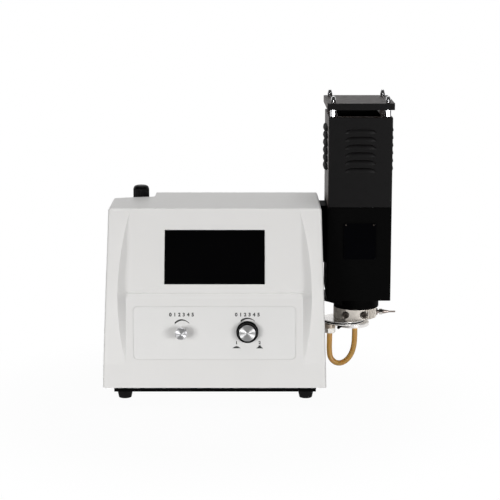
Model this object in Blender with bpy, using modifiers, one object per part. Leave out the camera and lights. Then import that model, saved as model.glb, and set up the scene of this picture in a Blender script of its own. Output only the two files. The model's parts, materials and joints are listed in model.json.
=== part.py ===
"""Bench flame photometer: a console on a base pan, with a louvred chimney, a burner and a mixing
chamber fixed to its right side.

Metres, +Z up. The construction frame has x = 0 at the console's middle, y = 0 at the lower front
face beside the valves, z = 0 on the bench. The front looks along -Y. The object's origin is the
middle of its bounding box's base, so an empty carries the whole construction frame there.
"""

import math

import bmesh
import bpy
from mathutils import Matrix, Vector

# Clearances and counts shared by many pieces
GAP = 0.0003  # between two pieces that touch
FIT = 0.0004  # round a pin or bush in its hole
OVERRUN = 0.004  # how far a cut runs past the face it opens
MERGE = 0.00001  # points closer than this are one
SEAT = 0.001  # how deep a joined lump sinks into its wall
ROUND_STEPS = 24
WIDE_STEPS = 32
SMALL_STEPS = 12
TINY_STEPS = 8
CORNER_STEPS = 4
HEX_SIDES = 6
ROUTE_PIECES = 12
TUBE_RESOLUTION = 2
HALF = 0.5
QUARTER_TURN = math.pi * HALF
SMOOTH_ANGLE = math.radians(32.0)
BEVEL_ANGLE = math.radians(40.0)

# Console: profile of the front, top and rear
CASE_FOOT_HALF_WIDTH = 0.171
CASE_TAPER = 0.007  # how much narrower each side is at the top than at the rim
CASE_RIM_Z = 0.0276
LEANING_FACE_HEIGHT = 0.1219
CASE_WALL = 0.003
CASE_CORNER = 0.006
LOWER_FACE_FOOT_Y = -0.009
CREASE_Y = -0.002
LOWER_FACE_HEIGHT = 0.1469
SCREEN_FOOT_Y = 0.003
LEDGE_ROUND = 0.009
LEDGE_STEPS = 4
STRIP_KNEE_Y = 0.002
TOP_EDGE_Y = 0.0548
TOP_LEVEL_DEPTH = 0.168
REAR_SLOPE_DEPTH = 0.0882
REAR_SLOPE_DROP = 0.0714
SEAM_Y = 0.068

# Raised centre of the front
STRIP_EDGE_FOOT_INSET = 0.0355  # from the console's side at the rim, as the next two
STRIP_EDGE_KNEE_INSET = 0.007
STRIP_EDGE_HEAD_INSET = 0.0405
CENTRE_EDGE_SLOPE = 0.001
BLEND_START = 0.0394  # above the rim
BLEND_END = 0.0029  # below the top
BLEND_STEPS = 5
SHOULDER_RADIUS = 0.004

# Screen
SCREEN_WIDTH = 0.15408
SCREEN_HEIGHT = 0.08592
SCREEN_CENTRE_UP = 0.0563  # along the leaning face, from the crease
SCREEN_CORNER = 0.001
GLASS_BORDER = 0.006
GLASS_THICKNESS = 0.0018
DISPLAY_THICKNESS = 0.0065
DISPLAY_EAR = 0.004
DISPLAY_EAR_SHEET = 0.002
DISPLAY_POST = 0.008

# Control plate and the places of the two valves
PLATE_SIDE_MARGIN = 0.006
PLATE_HEIGHT = 0.0813
PLATE_DROP = 0.0603  # from the crease to the plate's middle
PLATE_CORNER = 0.0065
PLATE_THICKNESS = 0.001
PLATE_PROUD = 0.0003
VALVE_SPACING = 0.100
VALVE_RISE = 0.0025  # above the plate's middle
VALVE_BUSH_RADIUS = 0.005
VALVE_NUT_RADIUS = 0.0081
VALVE_NUT_HEIGHT = 0.004

# Fine adjustment valve
FINE_BUSH_OUT = 0.0085
FINE_BODY_RADIUS = 0.011
FINE_BODY_LENGTH = 0.034
FINE_PORT_RADIUS = 0.0035
FINE_PORT_LENGTH = 0.012
FINE_STEM_RADIUS = 0.003
FINE_STEM_IN = 0.022
FINE_KNOB_RADIUS = 0.009
FINE_KNOB_LENGTH = 0.012
FINE_KNOB_NECK_RADIUS = 0.0058
FINE_KNOB_OUT = 0.024
FINE_KNOB_EDGE = 0.0017

# Gas valve
GAS_BUSH_OUT = 0.0045
GAS_BODY_SIZE = 0.032
GAS_BODY_LENGTH = 0.042
GAS_STEM_RADIUS = 0.003
GAS_STEM_IN = 0.026
GAS_PUSH_TRAVEL = 0.003
GAS_SKIRT_RADIUS = 0.01685
GAS_SKIRT_EDGE = 0.003
GAS_FACE_RADIUS = 0.0138
GAS_KNOB_LENGTH = 0.0115
GAS_KNOB_WALL = 0.003
GAS_HUB_RADIUS = 0.006
GAS_CAP_RADIUS = 0.0132
GAS_CAP_DEPTH = 0.0015
GAS_CAP_PROUD = 0.0007
GAS_KNOB_STANDOFF = 0.0035

# Pocket in the top, and the pressure regulator that comes up in it
POCKET_WIDTH = 0.0653
POCKET_LENGTH_LEFT = 0.0668  # ahead of the top's rear bend
POCKET_FRONT_SLANT = 0.0185
POCKET_CORNER = 0.007
POCKET_DEPTH = 0.0204
REGULATOR_ASIDE = 0.0228  # from the pocket's right wall
REGULATOR_BEHIND = 0.031  # behind the pocket's front left corner
REGULATOR_BODY_RADIUS = 0.020
REGULATOR_BODY_LENGTH = 0.052
REGULATOR_NECK_RADIUS = 0.0085
REGULATOR_NECK_OUT = 0.0075
REGULATOR_STEM_RADIUS = 0.003
REGULATOR_STEM_IN = 0.020
REGULATOR_KNOB_RADIUS = 0.01285
REGULATOR_KNOB_TOP_OUT = 0.0373
REGULATOR_KNOB_CHAMFER = 0.0028
REGULATOR_KNOB_WALL = 0.0028
REGULATOR_KNOB_ROOF = 0.006
REGULATOR_PULL = 0.0035
REGULATOR_PORT_RADIUS = 0.004
REGULATOR_PORT_LENGTH = 0.010

# Base pan, feet and screws
PAN_SIDE_INSET = 0.015
PAN_FRONT_Y = 0.019
PAN_REAR_GAP = 0.0005
PAN_Z = 0.0153
PAN_SHEET = 0.002
PAN_FLANGE_TOP_Z = 0.030
FOOT_SIDE_INSET = 0.015
FOOT_FRONT_INSET = 0.026
FOOT_REAR_INSET = 0.032
FOOT_TOP_RADIUS = 0.012
FOOT_BASE_RADIUS = 0.0092
FOOT_STEM_RADIUS = 0.0035
FOOT_STEM_IN = 0.003
FOOT_SOLE_CHAMFER = 0.0008
SCREW_RADIUS = 0.002
CASE_SCREW_IN = 0.010
FRONT_POST_X = 0.061
FRONT_POST_INSET = 0.015
SIDE_POST_INSET = 0.010
SIDE_POST_FRONT_Y = 0.105
SIDE_POST_REAR_INSET = 0.014
POST_SIZE = 0.012
POST_TOP_Z = 0.058
POST_WEB_Z = 0.034
STANDOFF_RADIUS = 0.003

# Boards and supply on the pan
MAIN_BOARD_SIDE_GAP = 0.010
MAIN_BOARD_SUPPLY_GAP = 0.020
MAIN_BOARD_BEHIND_POST = 0.015
MAIN_BOARD_AHEAD_OF_POST = 0.036
MAIN_BOARD_Z = 0.0265
BOARD_THICKNESS = 0.0016
BOARD_HOLE_INSET = 0.006
SUPPLY_SIDE_GAP = 0.034
SUPPLY_WIDTH = 0.098
SUPPLY_BEHIND_BOARD = 0.015
SUPPLY_DEPTH = 0.129
SUPPLY_HEIGHT = 0.038
SUPPLY_LIFT = 0.004
SUPPLY_EDGE = 0.001

# Optical train, from the flame into the console
CHIMNEY_SIDE_GAP = 0.0045  # between the console's side at the rim and the chimney
BEAM_DROP = 0.0564  # under the console's top
OPTIC_LENGTH = 0.0552
OPTIC_TAPER_ROOM = 0.0002  # the side stands this much wider here than at the top
OPTIC_HALF_DEPTH = 0.022
OPTIC_UNDER_BEAM = 0.034
OPTIC_OVER_BEAM = 0.032
OPTIC_BORE_RADIUS = 0.0133
OPTIC_END_WALL = 0.004
EYE_RADIUS = 0.004
LENS_IN = 0.0192
LENS_THICKNESS = 0.005
LENS_BULGE = 0.0015
LENS_SHOULDER_SHARE = 0.25
FILTER_IN = 0.0352
FILTER_THICKNESS = 0.004
DETECTOR_SIZE = 0.036
COUPLING_AHEAD = 0.0155
COUPLING_DEPTH = 0.056
COUPLING_UNDER_BEAM = 0.044
COUPLING_OVER_BEAM = 0.0545
COUPLING_TUBE_RADIUS = 0.0128
COUPLING_BORE_RADIUS = 0.0105
COUPLING_TUBE_IN = 0.0122

# Chimney
CHIMNEY_HALF_WIDTH = 0.04965
CHIMNEY_FRONT_Y = 0.087
CHIMNEY_DEPTH = 0.134
CHIMNEY_UNDER_BURNER_TOP = 0.0526
HOUSING_HEIGHT = 0.1476
LOUVRED_COVER_HEIGHT = 0.1402
CHIMNEY_SHEET = 0.0015
CHIMNEY_ROOF_FLANGE = 0.016
CHIMNEY_FLOOR_HOLE_RADIUS = 0.019
LOUVRE_COUNT = 6
LOUVRE_PITCH = 0.01214
LOUVRE_TOP_MARGIN = 0.0187
LOUVRE_HEIGHT = 0.0076
LOUVRE_PROUD = 0.003
LOUVRE_SHEET = 0.001
LOUVRE_ROOT = 0.0005
LOUVRE_TAPER = 0.003
FRONT_LOUVRE_LENGTH = 0.048
SIDE_LOUVRE_LENGTH = 0.080
SIDE_LOUVRE_START = 0.029
LID_OVERHANG = 0.0012
LID_FRONT_OVERHANG = 0.0025
LID_RIM = 0.009
LID_STANDOFF = 0.0218
LID_SHEET = 0.0015
SPACER_RADIUS = 0.005
SPACER_INSET_X = 0.0073
SPACER_INSET_Y = 0.010
STUD_RADIUS = 0.0025
STUD_UNDER = 0.006
CAP_NUT_RADIUS = 0.0044
CAP_NUT_HEX_HEIGHT = 0.0045
CAP_NUT_HEIGHT = 0.0105

# Sight window
WINDOW_WIDTH = 0.050
WINDOW_HEIGHT = 0.0563
WINDOW_UNDER_BEAM = 0.0288
WINDOW_THICKNESS = 0.0025
WINDOW_LAP = 0.006
WINDOW_SCREW_INSET_X = 0.0042
WINDOW_SCREW_INSET_Z = 0.0034
WINDOW_SCREW_RADIUS = 0.00125

# Flame parts inside the chimney
FLAME_GLASS_RADIUS = 0.028
FLAME_GLASS_WALL = 0.002
FLAME_GLASS_UNDER_SEAM = 0.009
BURNER_RADIUS = 0.0145
BURNER_BORE_RADIUS = 0.0105
BURNER_UNDER_BEAM = 0.042
BURNER_RECESS = 0.003
BURNER_JET_RADIUS = 0.005
IGNITER_RADIUS = 0.0022
IGNITER_OFFSET = 0.0205
IGNITER_KNEE_DROP = 0.001  # under the burner's top
IGNITER_TIP_RISE = 0.008
IGNITER_REACH = 0.008

# Collar, mixing chamber and what hangs below it
COLLAR_RADIUS = 0.0355
COLLAR_DROP = 0.0234
CHAMBER_ASIDE = 0.00175  # its axis left of the flame's
CHAMBER_RADIUS = 0.0346
CHAMBER_DROP = 0.0172  # under the collar's foot
CHAMBER_BORE_RADIUS = 0.018
CHAMBER_FLOOR = 0.004
FLANGE_ASIDE = 0.0194
FLANGE_AHEAD = 0.013
FLANGE_RADIUS = 0.0342
FLANGE_THICKNESS = 0.0055
CAP_ASIDE = 0.0138
CAP_RADIUS = 0.0276
CAP_HEIGHT = 0.006
DRAIN_ASIDE = 0.0225
DRAIN_AHEAD = 0.016
DRAIN_BODY_RADIUS = 0.0093
DRAIN_BODY_HEIGHT = 0.0063
DRAIN_NUT_RADIUS = 0.0101
DRAIN_NUT_HEIGHT = 0.0080
CLAMP_SCREW_SPREAD = 0.0149
CLAMP_SCREW_ASIDE = 0.0023
CLAMP_SCREW_RISE = 0.008
CLAMP_SCREW_RADIUS = 0.0022
CLAMP_SCREW_HEAD_RADIUS = 0.0044
CLAMP_SCREW_HEAD_LENGTH = 0.006
CLAMP_SCREW_IN = 0.009
CLAMP_FLAT_DEPTH = 0.0041

# Nebuliser, along +X from the chamber
NEBULISER_RISE = 0.007
NEBULISER_IN = 0.008
NEBULISER_RING_RADIUS = 0.0055
NEBULISER_RING_LENGTH = 0.002
NEBULISER_NECK_RADIUS = 0.0028
NEBULISER_NECK_LENGTH = 0.0034
NEBULISER_NUT_RADIUS = 0.0048
NEBULISER_NUT_LENGTH = 0.0042
NEBULISER_BARREL_RADIUS = 0.0030
NEBULISER_BARREL_TIP_RADIUS = 0.0016
NEBULISER_BARREL_LENGTH = 0.0095
CAPILLARY_RADIUS = 0.0010
CAPILLARY_OUT = 0.0115

# Bracket under the chimney's left edge
BRACKET_BEHIND = 0.011
BRACKET_DEPTH = 0.070
BRACKET_THICKNESS = 0.0025
BRACKET_DROP = 0.020
BRACKET_REACH = 0.0125

# Drain hose: route of its centre line as (x, z), in the upright plane at DRAIN_Y
HOSE_RADIUS = 0.0044
HOSE_POINT_STEP = 0.0105
HOSE_ROUTE = (
    (0.1814, 0.0700),
    (0.1814, 0.0560),
    (0.1834, 0.0432),
    (0.1904, 0.0352),
    (0.2001, 0.0338),
    (0.2098, 0.0394),
    (0.2170, 0.0502),
    (0.2206, 0.0636),
    (0.2216, 0.0780),
)
HOSE_RIGHT_X = 0.2217

# Rear panel and its fittings
PANEL_SHEET = 0.002
PANEL_INSET = 0.0105
PANEL_LOW_Z = 0.0195
INLET_SIDE_INSET = 0.051
INLET_Z = 0.075
INLET_BODY_WIDTH = 0.028
INLET_BODY_HEIGHT = 0.020
INLET_FLANGE_WIDTH = 0.048
INLET_FLANGE_HEIGHT = 0.024
INLET_FLANGE_THICKNESS = 0.003
INLET_DEPTH = 0.022
INLET_RECESS_WIDTH = 0.0245
INLET_RECESS_HEIGHT = 0.0165
INLET_RECESS_DEPTH = 0.017
INLET_PIN_THICKNESS = 0.002
INLET_PIN_HEIGHT = 0.004
INLET_PIN_SHARES = ((-0.28, -0.12), (0.28, -0.12), (0.0, 0.16))  # of the recess's width
SWITCH_ASIDE = 0.077  # from the inlet
SWITCH_WIDTH = 0.0135
SWITCH_HEIGHT = 0.0195
SWITCH_FRAME_LIP = 0.0022
SWITCH_FRAME_PROUD = 0.002
SWITCH_WALL = 0.0018
SWITCH_DEPTH = 0.018
ROCKER_CLEARANCE = 0.0006
ROCKER_TILT = math.radians(9.0)
ROCKER_PIVOT_IN = 0.0045
ROCKER_ARC_RADIUS = 0.0072
ROCKER_PIN_RADIUS = 0.0015
ROCKER_PIN_COVER = 0.0005
ROCKER_EDGE = 0.001
ROCKER_VEE = 0.0005
ROCKER_ARC_SHARE = 0.66  # of a quarter turn to each side
BARB_SPACING = 0.046
BARB_SIDE_INSET = 0.044
BARB_Z = 0.100
BARB_TAIL_RADIUS = 0.0045
BARB_HEX_RADIUS = 0.009
BARB_HEX_LENGTH = 0.006
BARB_RADIUS = 0.0042
BARB_RIDGE = 0.001
BARB_RIDGES = 3
BARB_RIDGE_LENGTH = 0.005
BARB_SLOPE_SHARE = 0.7
BARB_BORE_RADIUS = 0.0024
BARB_TAIL_IN = 0.014
TUBE_RADIUS = 0.003
TUBE_POINT_STEP = 0.009

# Sizes worked out from those above
CASE_HEAD_HALF_WIDTH = CASE_FOOT_HALF_WIDTH - CASE_TAPER
CREASE_Z = CASE_RIM_Z + LOWER_FACE_HEIGHT
CASE_TOP_Z = CREASE_Z + LEANING_FACE_HEIGHT
STRIP_EDGE_FOOT_X = CASE_FOOT_HALF_WIDTH - STRIP_EDGE_FOOT_INSET
STRIP_EDGE_KNEE_X = CASE_FOOT_HALF_WIDTH - STRIP_EDGE_KNEE_INSET
STRIP_EDGE_HEAD_X = CASE_FOOT_HALF_WIDTH - STRIP_EDGE_HEAD_INSET
CENTRE_FOOT_HALF_WIDTH = STRIP_EDGE_FOOT_X - CENTRE_EDGE_SLOPE
CENTRE_HEAD_HALF_WIDTH = STRIP_EDGE_HEAD_X - CENTRE_EDGE_SLOPE
BLEND_LOW_Z = CASE_RIM_Z + BLEND_START
BLEND_HIGH_Z = CASE_TOP_Z - BLEND_END
PLATE_WIDTH = 2 * (CENTRE_HEAD_HALF_WIDTH - PLATE_SIDE_MARGIN)
PLATE_CENTRE_Z = CREASE_Z - PLATE_DROP
VALVE_Z = PLATE_CENTRE_Z + VALVE_RISE
CASE_HEIGHT = CASE_TOP_Z - CASE_RIM_Z
FACE_TILT = math.atan2(CREASE_Y - LOWER_FACE_FOOT_Y, CREASE_Z - CASE_RIM_Z)
SCREEN_TILT = math.atan2(TOP_EDGE_Y - SCREEN_FOOT_Y, CASE_TOP_Z - CREASE_Z)
LEDGE_DEPTH = SCREEN_FOOT_Y - CREASE_Y
TOP_REAR_Y = TOP_EDGE_Y + TOP_LEVEL_DEPTH
REAR_Y = TOP_REAR_Y + REAR_SLOPE_DEPTH
REAR_SLOPE = math.atan2(REAR_SLOPE_DROP, REAR_SLOPE_DEPTH)
CASE_CEILING_Z = CASE_TOP_Z - CASE_WALL
POCKET_RIGHT_X = POCKET_WIDTH - CASE_HEAD_HALF_WIDTH
POCKET_FRONT_LEFT_Y = TOP_REAR_Y - POCKET_LENGTH_LEFT
POCKET_FRONT_RIGHT_Y = POCKET_FRONT_LEFT_Y + POCKET_FRONT_SLANT
POCKET_FLOOR_Z = CASE_TOP_Z - POCKET_DEPTH
REGULATOR_X = POCKET_RIGHT_X - REGULATOR_ASIDE
REGULATOR_Y = POCKET_FRONT_LEFT_Y + REGULATOR_BEHIND
REGULATOR_KNOB_TOP_Z = POCKET_FLOOR_Z + REGULATOR_KNOB_TOP_OUT
PANEL_FRONT_Y = REAR_Y - PANEL_INSET
PANEL_REAR_Y = PANEL_FRONT_Y + PANEL_SHEET
PAN_HALF_WIDTH = CASE_FOOT_HALF_WIDTH - PAN_SIDE_INSET
PAN_REAR_Y = PANEL_FRONT_Y - PAN_REAR_GAP
PAN_TOP_Z = PAN_Z + PAN_SHEET
FOOT_X = PAN_HALF_WIDTH - FOOT_SIDE_INSET
FOOT_FRONT_Y = PAN_FRONT_Y + FOOT_FRONT_INSET
FOOT_REAR_Y = PAN_REAR_Y - FOOT_REAR_INSET
FRONT_POST_Y = PAN_FRONT_Y + FRONT_POST_INSET
SIDE_POST_X = PAN_HALF_WIDTH - SIDE_POST_INSET
SIDE_POST_REAR_Y = PAN_REAR_Y - SIDE_POST_REAR_INSET
SUPPLY_LOW_X = PAN_HALF_WIDTH - SUPPLY_SIDE_GAP - SUPPLY_WIDTH
MAIN_BOARD_LOW_X = MAIN_BOARD_SIDE_GAP - PAN_HALF_WIDTH
MAIN_BOARD_WIDTH = SUPPLY_LOW_X - MAIN_BOARD_SUPPLY_GAP - MAIN_BOARD_LOW_X
MAIN_BOARD_FRONT_Y = SIDE_POST_FRONT_Y + MAIN_BOARD_BEHIND_POST
MAIN_BOARD_DEPTH = SIDE_POST_REAR_Y - MAIN_BOARD_AHEAD_OF_POST - MAIN_BOARD_FRONT_Y
SUPPLY_FRONT_Y = MAIN_BOARD_FRONT_Y + SUPPLY_BEHIND_BOARD
CHIMNEY_LEFT_X = CASE_FOOT_HALF_WIDTH + CHIMNEY_SIDE_GAP
FLAME_X = CHIMNEY_LEFT_X + CHIMNEY_HALF_WIDTH
CHIMNEY_RIGHT_X = FLAME_X + CHIMNEY_HALF_WIDTH
FLAME_Y = CHIMNEY_FRONT_Y + CHIMNEY_DEPTH * HALF
CHIMNEY_REAR_Y = CHIMNEY_FRONT_Y + CHIMNEY_DEPTH
BEAM_Z = CASE_TOP_Z - BEAM_DROP
OPTIC_HIGH_X = CASE_HEAD_HALF_WIDTH - CASE_WALL + OPTIC_TAPER_ROOM
OPTIC_LOW_X = OPTIC_HIGH_X - OPTIC_LENGTH
OPTIC_LOW_Z = BEAM_Z - OPTIC_UNDER_BEAM
OPTIC_HIGH_Z = BEAM_Z + OPTIC_OVER_BEAM
LENS_X = OPTIC_HIGH_X - LENS_IN
FILTER_X = OPTIC_HIGH_X - FILTER_IN
COUPLING_FRONT_Y = FLAME_Y - COUPLING_AHEAD
COUPLING_LOW_Z = BEAM_Z - COUPLING_UNDER_BEAM
COUPLING_HIGH_Z = BEAM_Z + COUPLING_OVER_BEAM
COUPLING_TUBE_LOW_X = OPTIC_HIGH_X - COUPLING_TUBE_IN
BURNER_TOP_Z = BEAM_Z - BURNER_UNDER_BEAM
CHIMNEY_LOW_Z = BURNER_TOP_Z - CHIMNEY_UNDER_BURNER_TOP
CHIMNEY_SEAM_Z = CHIMNEY_LOW_Z + HOUSING_HEIGHT
CHIMNEY_HIGH_Z = CHIMNEY_SEAM_Z + LOUVRED_COVER_HEIGHT
CHIMNEY_FLOOR_Z = CHIMNEY_LOW_Z + CHIMNEY_SHEET
LOUVRE_LOWEST_Z = CHIMNEY_HIGH_Z - LOUVRE_TOP_MARGIN - LOUVRE_HEIGHT - (LOUVRE_COUNT - 1) * LOUVRE_PITCH
LID_TOP_Z = CHIMNEY_HIGH_Z + LID_STANDOFF
LID_UNDER_Z = LID_TOP_Z - LID_SHEET
WINDOW_LOW_Z = BEAM_Z - WINDOW_UNDER_BEAM
FLAME_GLASS_TOP_Z = CHIMNEY_SEAM_Z - FLAME_GLASS_UNDER_SEAM
IGNITER_KNEE_Z = BURNER_TOP_Z - IGNITER_KNEE_DROP
IGNITER_TIP_Z = BURNER_TOP_Z + IGNITER_TIP_RISE
COLLAR_LOW_Z = CHIMNEY_LOW_Z - COLLAR_DROP
CHAMBER_X = FLAME_X - CHAMBER_ASIDE
CHAMBER_LOW_Z = COLLAR_LOW_Z - CHAMBER_DROP
CLAMP_SCREW_X = CHAMBER_X - CLAMP_SCREW_ASIDE
CLAMP_SCREW_Z = CHAMBER_LOW_Z + CLAMP_SCREW_RISE
CLAMP_FLAT_Y = FLAME_Y - CHAMBER_RADIUS + CLAMP_FLAT_DEPTH
NEBULISER_Z = CHAMBER_LOW_Z + NEBULISER_RISE
FLANGE_X = CHAMBER_X - FLANGE_ASIDE
FLANGE_Y = FLAME_Y - FLANGE_AHEAD
FLANGE_TOP_Z = CHAMBER_LOW_Z - GAP
FLANGE_LOW_Z = FLANGE_TOP_Z - FLANGE_THICKNESS
CAP_X = FLANGE_X + CAP_ASIDE
CAP_LOW_Z = FLANGE_LOW_Z - CAP_HEIGHT
DRAIN_X = FLANGE_X - DRAIN_ASIDE
DRAIN_Y = FLANGE_Y - DRAIN_AHEAD
DRAIN_TOP_Z = FLANGE_LOW_Z - GAP
BRACKET_FRONT_Y = CHIMNEY_FRONT_Y + BRACKET_BEHIND
INLET_X = INLET_SIDE_INSET - PAN_HALF_WIDTH
SWITCH_X = INLET_X + SWITCH_ASIDE
BARB_GAS_X = PAN_HALF_WIDTH - BARB_SIDE_INSET
BARB_AIR_X = BARB_GAS_X - BARB_SPACING
VALVE_X = VALVE_SPACING * HALF
GAS_KNOB_BACK = GAS_KNOB_STANDOFF + PLATE_PROUD
GAS_KNOB_FRONT = GAS_KNOB_BACK + GAS_KNOB_LENGTH
FLANGE_TOP_Z = CHAMBER_LOW_Z - GAP
FLANGE_LOW_Z = FLANGE_TOP_Z - FLANGE_THICKNESS
CAP_LOW_Z = FLANGE_LOW_Z - CAP_HEIGHT
DRAIN_TOP_Z = FLANGE_LOW_Z - GAP
NEBULISER_X = CHAMBER_X + CHAMBER_RADIUS
CAPILLARY_TIP_X = (
    NEBULISER_X
    + NEBULISER_RING_LENGTH
    + NEBULISER_NECK_LENGTH
    + NEBULISER_NUT_LENGTH
    + NEBULISER_BARREL_LENGTH
    + CAPILLARY_OUT
)
BARB_OUT = BARB_HEX_LENGTH + BARB_RIDGES * BARB_RIDGE_LENGTH
VALVE_FACE_Y = CREASE_Y - (CREASE_Z - VALVE_Z) * math.tan(FACE_TILT)
FRONT_REACH = FINE_KNOB_OUT * math.cos(FACE_TILT) - VALVE_FACE_Y
FRONT_REACH_EDGE = (FINE_KNOB_RADIUS - FINE_KNOB_EDGE) * math.sin(FACE_TILT)
OBJECT_CENTRE_X = (CAPILLARY_TIP_X - CASE_FOOT_HALF_WIDTH) * HALF
OBJECT_CENTRE_Y = (PANEL_REAR_Y + GAP + BARB_OUT - FRONT_REACH - FRONT_REACH_EDGE) * HALF


# Scene and helpers
def clear_scene():
    for item in list(bpy.data.objects):
        bpy.data.objects.remove(item, do_unlink=True)


def new_collection(name):
    made = bpy.data.collections.new(name)
    bpy.context.scene.collection.children.link(made)
    return made


clear_scene()
PARTS = new_collection("flame_photometer")
CUTTERS = new_collection("cutters")


def empty(name, place, parent=None, turn=(0.0, 0.0, 0.0)):
    """A helper empty that carries pieces: a construction frame or a joint axis"""
    item = bpy.data.objects.new(name, None)
    PARTS.objects.link(item)
    item.location = place
    item.rotation_euler = turn
    item.parent = parent
    return item


FRAME = empty("construction_frame", (-OBJECT_CENTRE_X, -OBJECT_CENTRE_Y, 0.0))
CONTROL_FRAME = empty("control_face", (0.0, VALVE_FACE_Y, VALVE_Z), FRAME, (-FACE_TILT, 0.0, 0.0))
SCREEN_FRAME = empty("screen_face", (0.0, SCREEN_FOOT_Y, CREASE_Z), FRAME, (-SCREEN_TILT, 0.0, 0.0))


def material(name, colour, roughness, metallic=0.0):
    made = bpy.data.materials.new(name)
    made.use_nodes = True
    shader = made.node_tree.nodes["Principled BSDF"]
    shader.inputs["Base Color"].default_value = (*colour, 1.0)
    shader.inputs["Roughness"].default_value = roughness
    shader.inputs["Metallic"].default_value = metallic
    return made


def shade(mesh):
    mesh.shade_smooth()
    mesh.set_sharp_from_angle(angle=SMOOTH_ANGLE)


def mesh_object(name, bm, parent=None, surface=None, cutter=False):
    """Turns a bmesh into a named object, in the parts or among the hidden cutters"""
    mesh = bpy.data.meshes.new(name)
    bmesh.ops.recalc_face_normals(bm, faces=bm.faces)
    bm.to_mesh(mesh)
    bm.free()
    shade(mesh)
    item = bpy.data.objects.new(name, mesh)
    item.parent = parent or FRAME
    if cutter:
        CUTTERS.objects.link(item)
        item.hide_render = True
        item.display_type = "WIRE"
    else:
        PARTS.objects.link(item)
        mesh.materials.append(material(name, *surface))
    return item


def add_block(bm, low, high):
    """A box between two corners, added to a bmesh"""
    low = Vector(low)
    high = Vector(high)
    made = bmesh.ops.create_cube(bm, size=1.0)
    size = Matrix.Diagonal((*(high - low), 1.0))
    bmesh.ops.transform(bm, verts=made["verts"], matrix=Matrix.Translation((low + high) * HALF) @ size)
    return made["verts"]


AXES = {
    "x": Matrix.Rotation(QUARTER_TURN, 4, "Y"),
    "y": Matrix.Rotation(-QUARTER_TURN, 4, "X"),
    "z": Matrix.Identity(4),
    "out": Matrix.Rotation(QUARTER_TURN, 4, "X"),
}


def add_rod(bm, radius, start, length, axis="z", steps=ROUND_STEPS, end_radius=None):
    """A round or many-sided bar from start, along +X, +Y or +Z, added to a bmesh"""
    middle = AXES[axis] @ Vector((0.0, 0.0, length * HALF))
    bmesh.ops.create_cone(
        bm,
        cap_ends=True,
        segments=steps,
        radius1=radius,
        radius2=radius if end_radius is None else end_radius,
        depth=length,
        matrix=Matrix.Translation(Vector(start) + middle) @ AXES[axis],
    )


def block(name, low, high, surface=None, parent=None, cutter=False):
    bm = bmesh.new()
    add_block(bm, low, high)
    return mesh_object(name, bm, parent, surface, cutter)


def rod(name, radius, start, length, axis="z", surface=None, parent=None, cutter=False, steps=ROUND_STEPS):
    bm = bmesh.new()
    add_rod(bm, radius, start, length, axis, steps)
    return mesh_object(name, bm, parent, surface, cutter)


def boolean(target, other, operation):
    modifier = target.modifiers.new(operation.lower() + "_" + other.name, "BOOLEAN")
    modifier.operation = operation
    modifier.object = other
    return target


def cut(target, other):
    return boolean(target, other, "DIFFERENCE")


def join(target, other):
    return boolean(target, other, "UNION")


def soften(target, width, steps=2):
    modifier = target.modifiers.new("soft_edges", "BEVEL")
    modifier.width = width
    modifier.segments = steps
    modifier.limit_method = "ANGLE"
    modifier.angle_limit = BEVEL_ANGLE
    return target


def turned(name, profile, place, surface=None, axis="z", parent=None, steps=ROUND_STEPS, closed=False,
           cutter=False):
    """A profile of (radius, height) points, down its outer side, turned about an axis through place"""
    mesh = bpy.data.meshes.new(name)
    count = len(profile)
    edges = [(i, i + 1) for i in range(count - 1)]
    if closed:
        edges.append((count - 1, 0))
    mesh.from_pydata([(radius, 0.0, height) for radius, height in profile], edges, [])
    item = bpy.data.objects.new(name, mesh)
    item.parent = parent or FRAME
    item.location = place
    item.rotation_euler = AXES[axis].to_euler()
    modifier = item.modifiers.new("turn", "SCREW")
    modifier.steps = steps
    modifier.render_steps = steps
    modifier.use_merge_vertices = True
    modifier.merge_threshold = MERGE
    modifier.use_smooth_shade = False
    if cutter:
        CUTTERS.objects.link(item)
        item.hide_render = True
        item.display_type = "WIRE"
    else:
        PARTS.objects.link(item)
        mesh.materials.append(material(name, *surface))
    return item


def outline(name, loops, thickness, surface=None, parent=None, cutter=False):
    """A flat outline in X and Z with round holes, thick along Y about y = 0"""
    curve = bpy.data.curves.new(name, "CURVE")
    curve.dimensions = "2D"
    curve.fill_mode = "BOTH"
    curve.extrude = thickness * HALF
    for points in loops:
        spline = curve.splines.new("POLY")
        spline.points.add(len(points) - 1)
        spline.use_cyclic_u = True
        for point, (x, y) in zip(spline.points, points):
            point.co = (x, y, 0.0, 1.0)
    flat = bpy.data.objects.new(name + "_outline", curve)
    CUTTERS.objects.link(flat)
    bpy.context.view_layer.update()
    mesh = bpy.data.meshes.new_from_object(flat.evaluated_get(bpy.context.evaluated_depsgraph_get()))
    bpy.data.objects.remove(flat, do_unlink=True)
    bm = bmesh.new()
    bm.from_mesh(mesh)
    bpy.data.meshes.remove(mesh)
    bmesh.ops.remove_doubles(bm, verts=bm.verts, dist=MERGE)
    bmesh.ops.transform(bm, verts=bm.verts, matrix=Matrix.Rotation(QUARTER_TURN, 4, "X"))
    return mesh_object(name, bm, parent, surface, cutter)


def arc(centre, radius, start, end, steps):
    """Points on a circle, angles in quarter turns from +X"""
    points = []
    for i in range(steps + 1):
        angle = (start + (end - start) * i / steps) * QUARTER_TURN
        points.append((centre[0] + radius * math.cos(angle), centre[1] + radius * math.sin(angle)))
    return points


def rounded_rectangle(width, height, radius, centre=(0.0, 0.0)):
    x = width * HALF - radius
    y = height * HALF - radius
    points = []
    for quarter, (sx, sy) in enumerate(((1, 1), (-1, 1), (-1, -1), (1, -1))):
        middle = (centre[0] + sx * x, centre[1] + sy * y)
        points += arc(middle, radius, quarter, quarter + 1, CORNER_STEPS)
    return points


def circle(centre, radius, steps=SMALL_STEPS):
    return arc(centre, radius, 0.0, 4.0, steps)[:-1]


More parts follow.
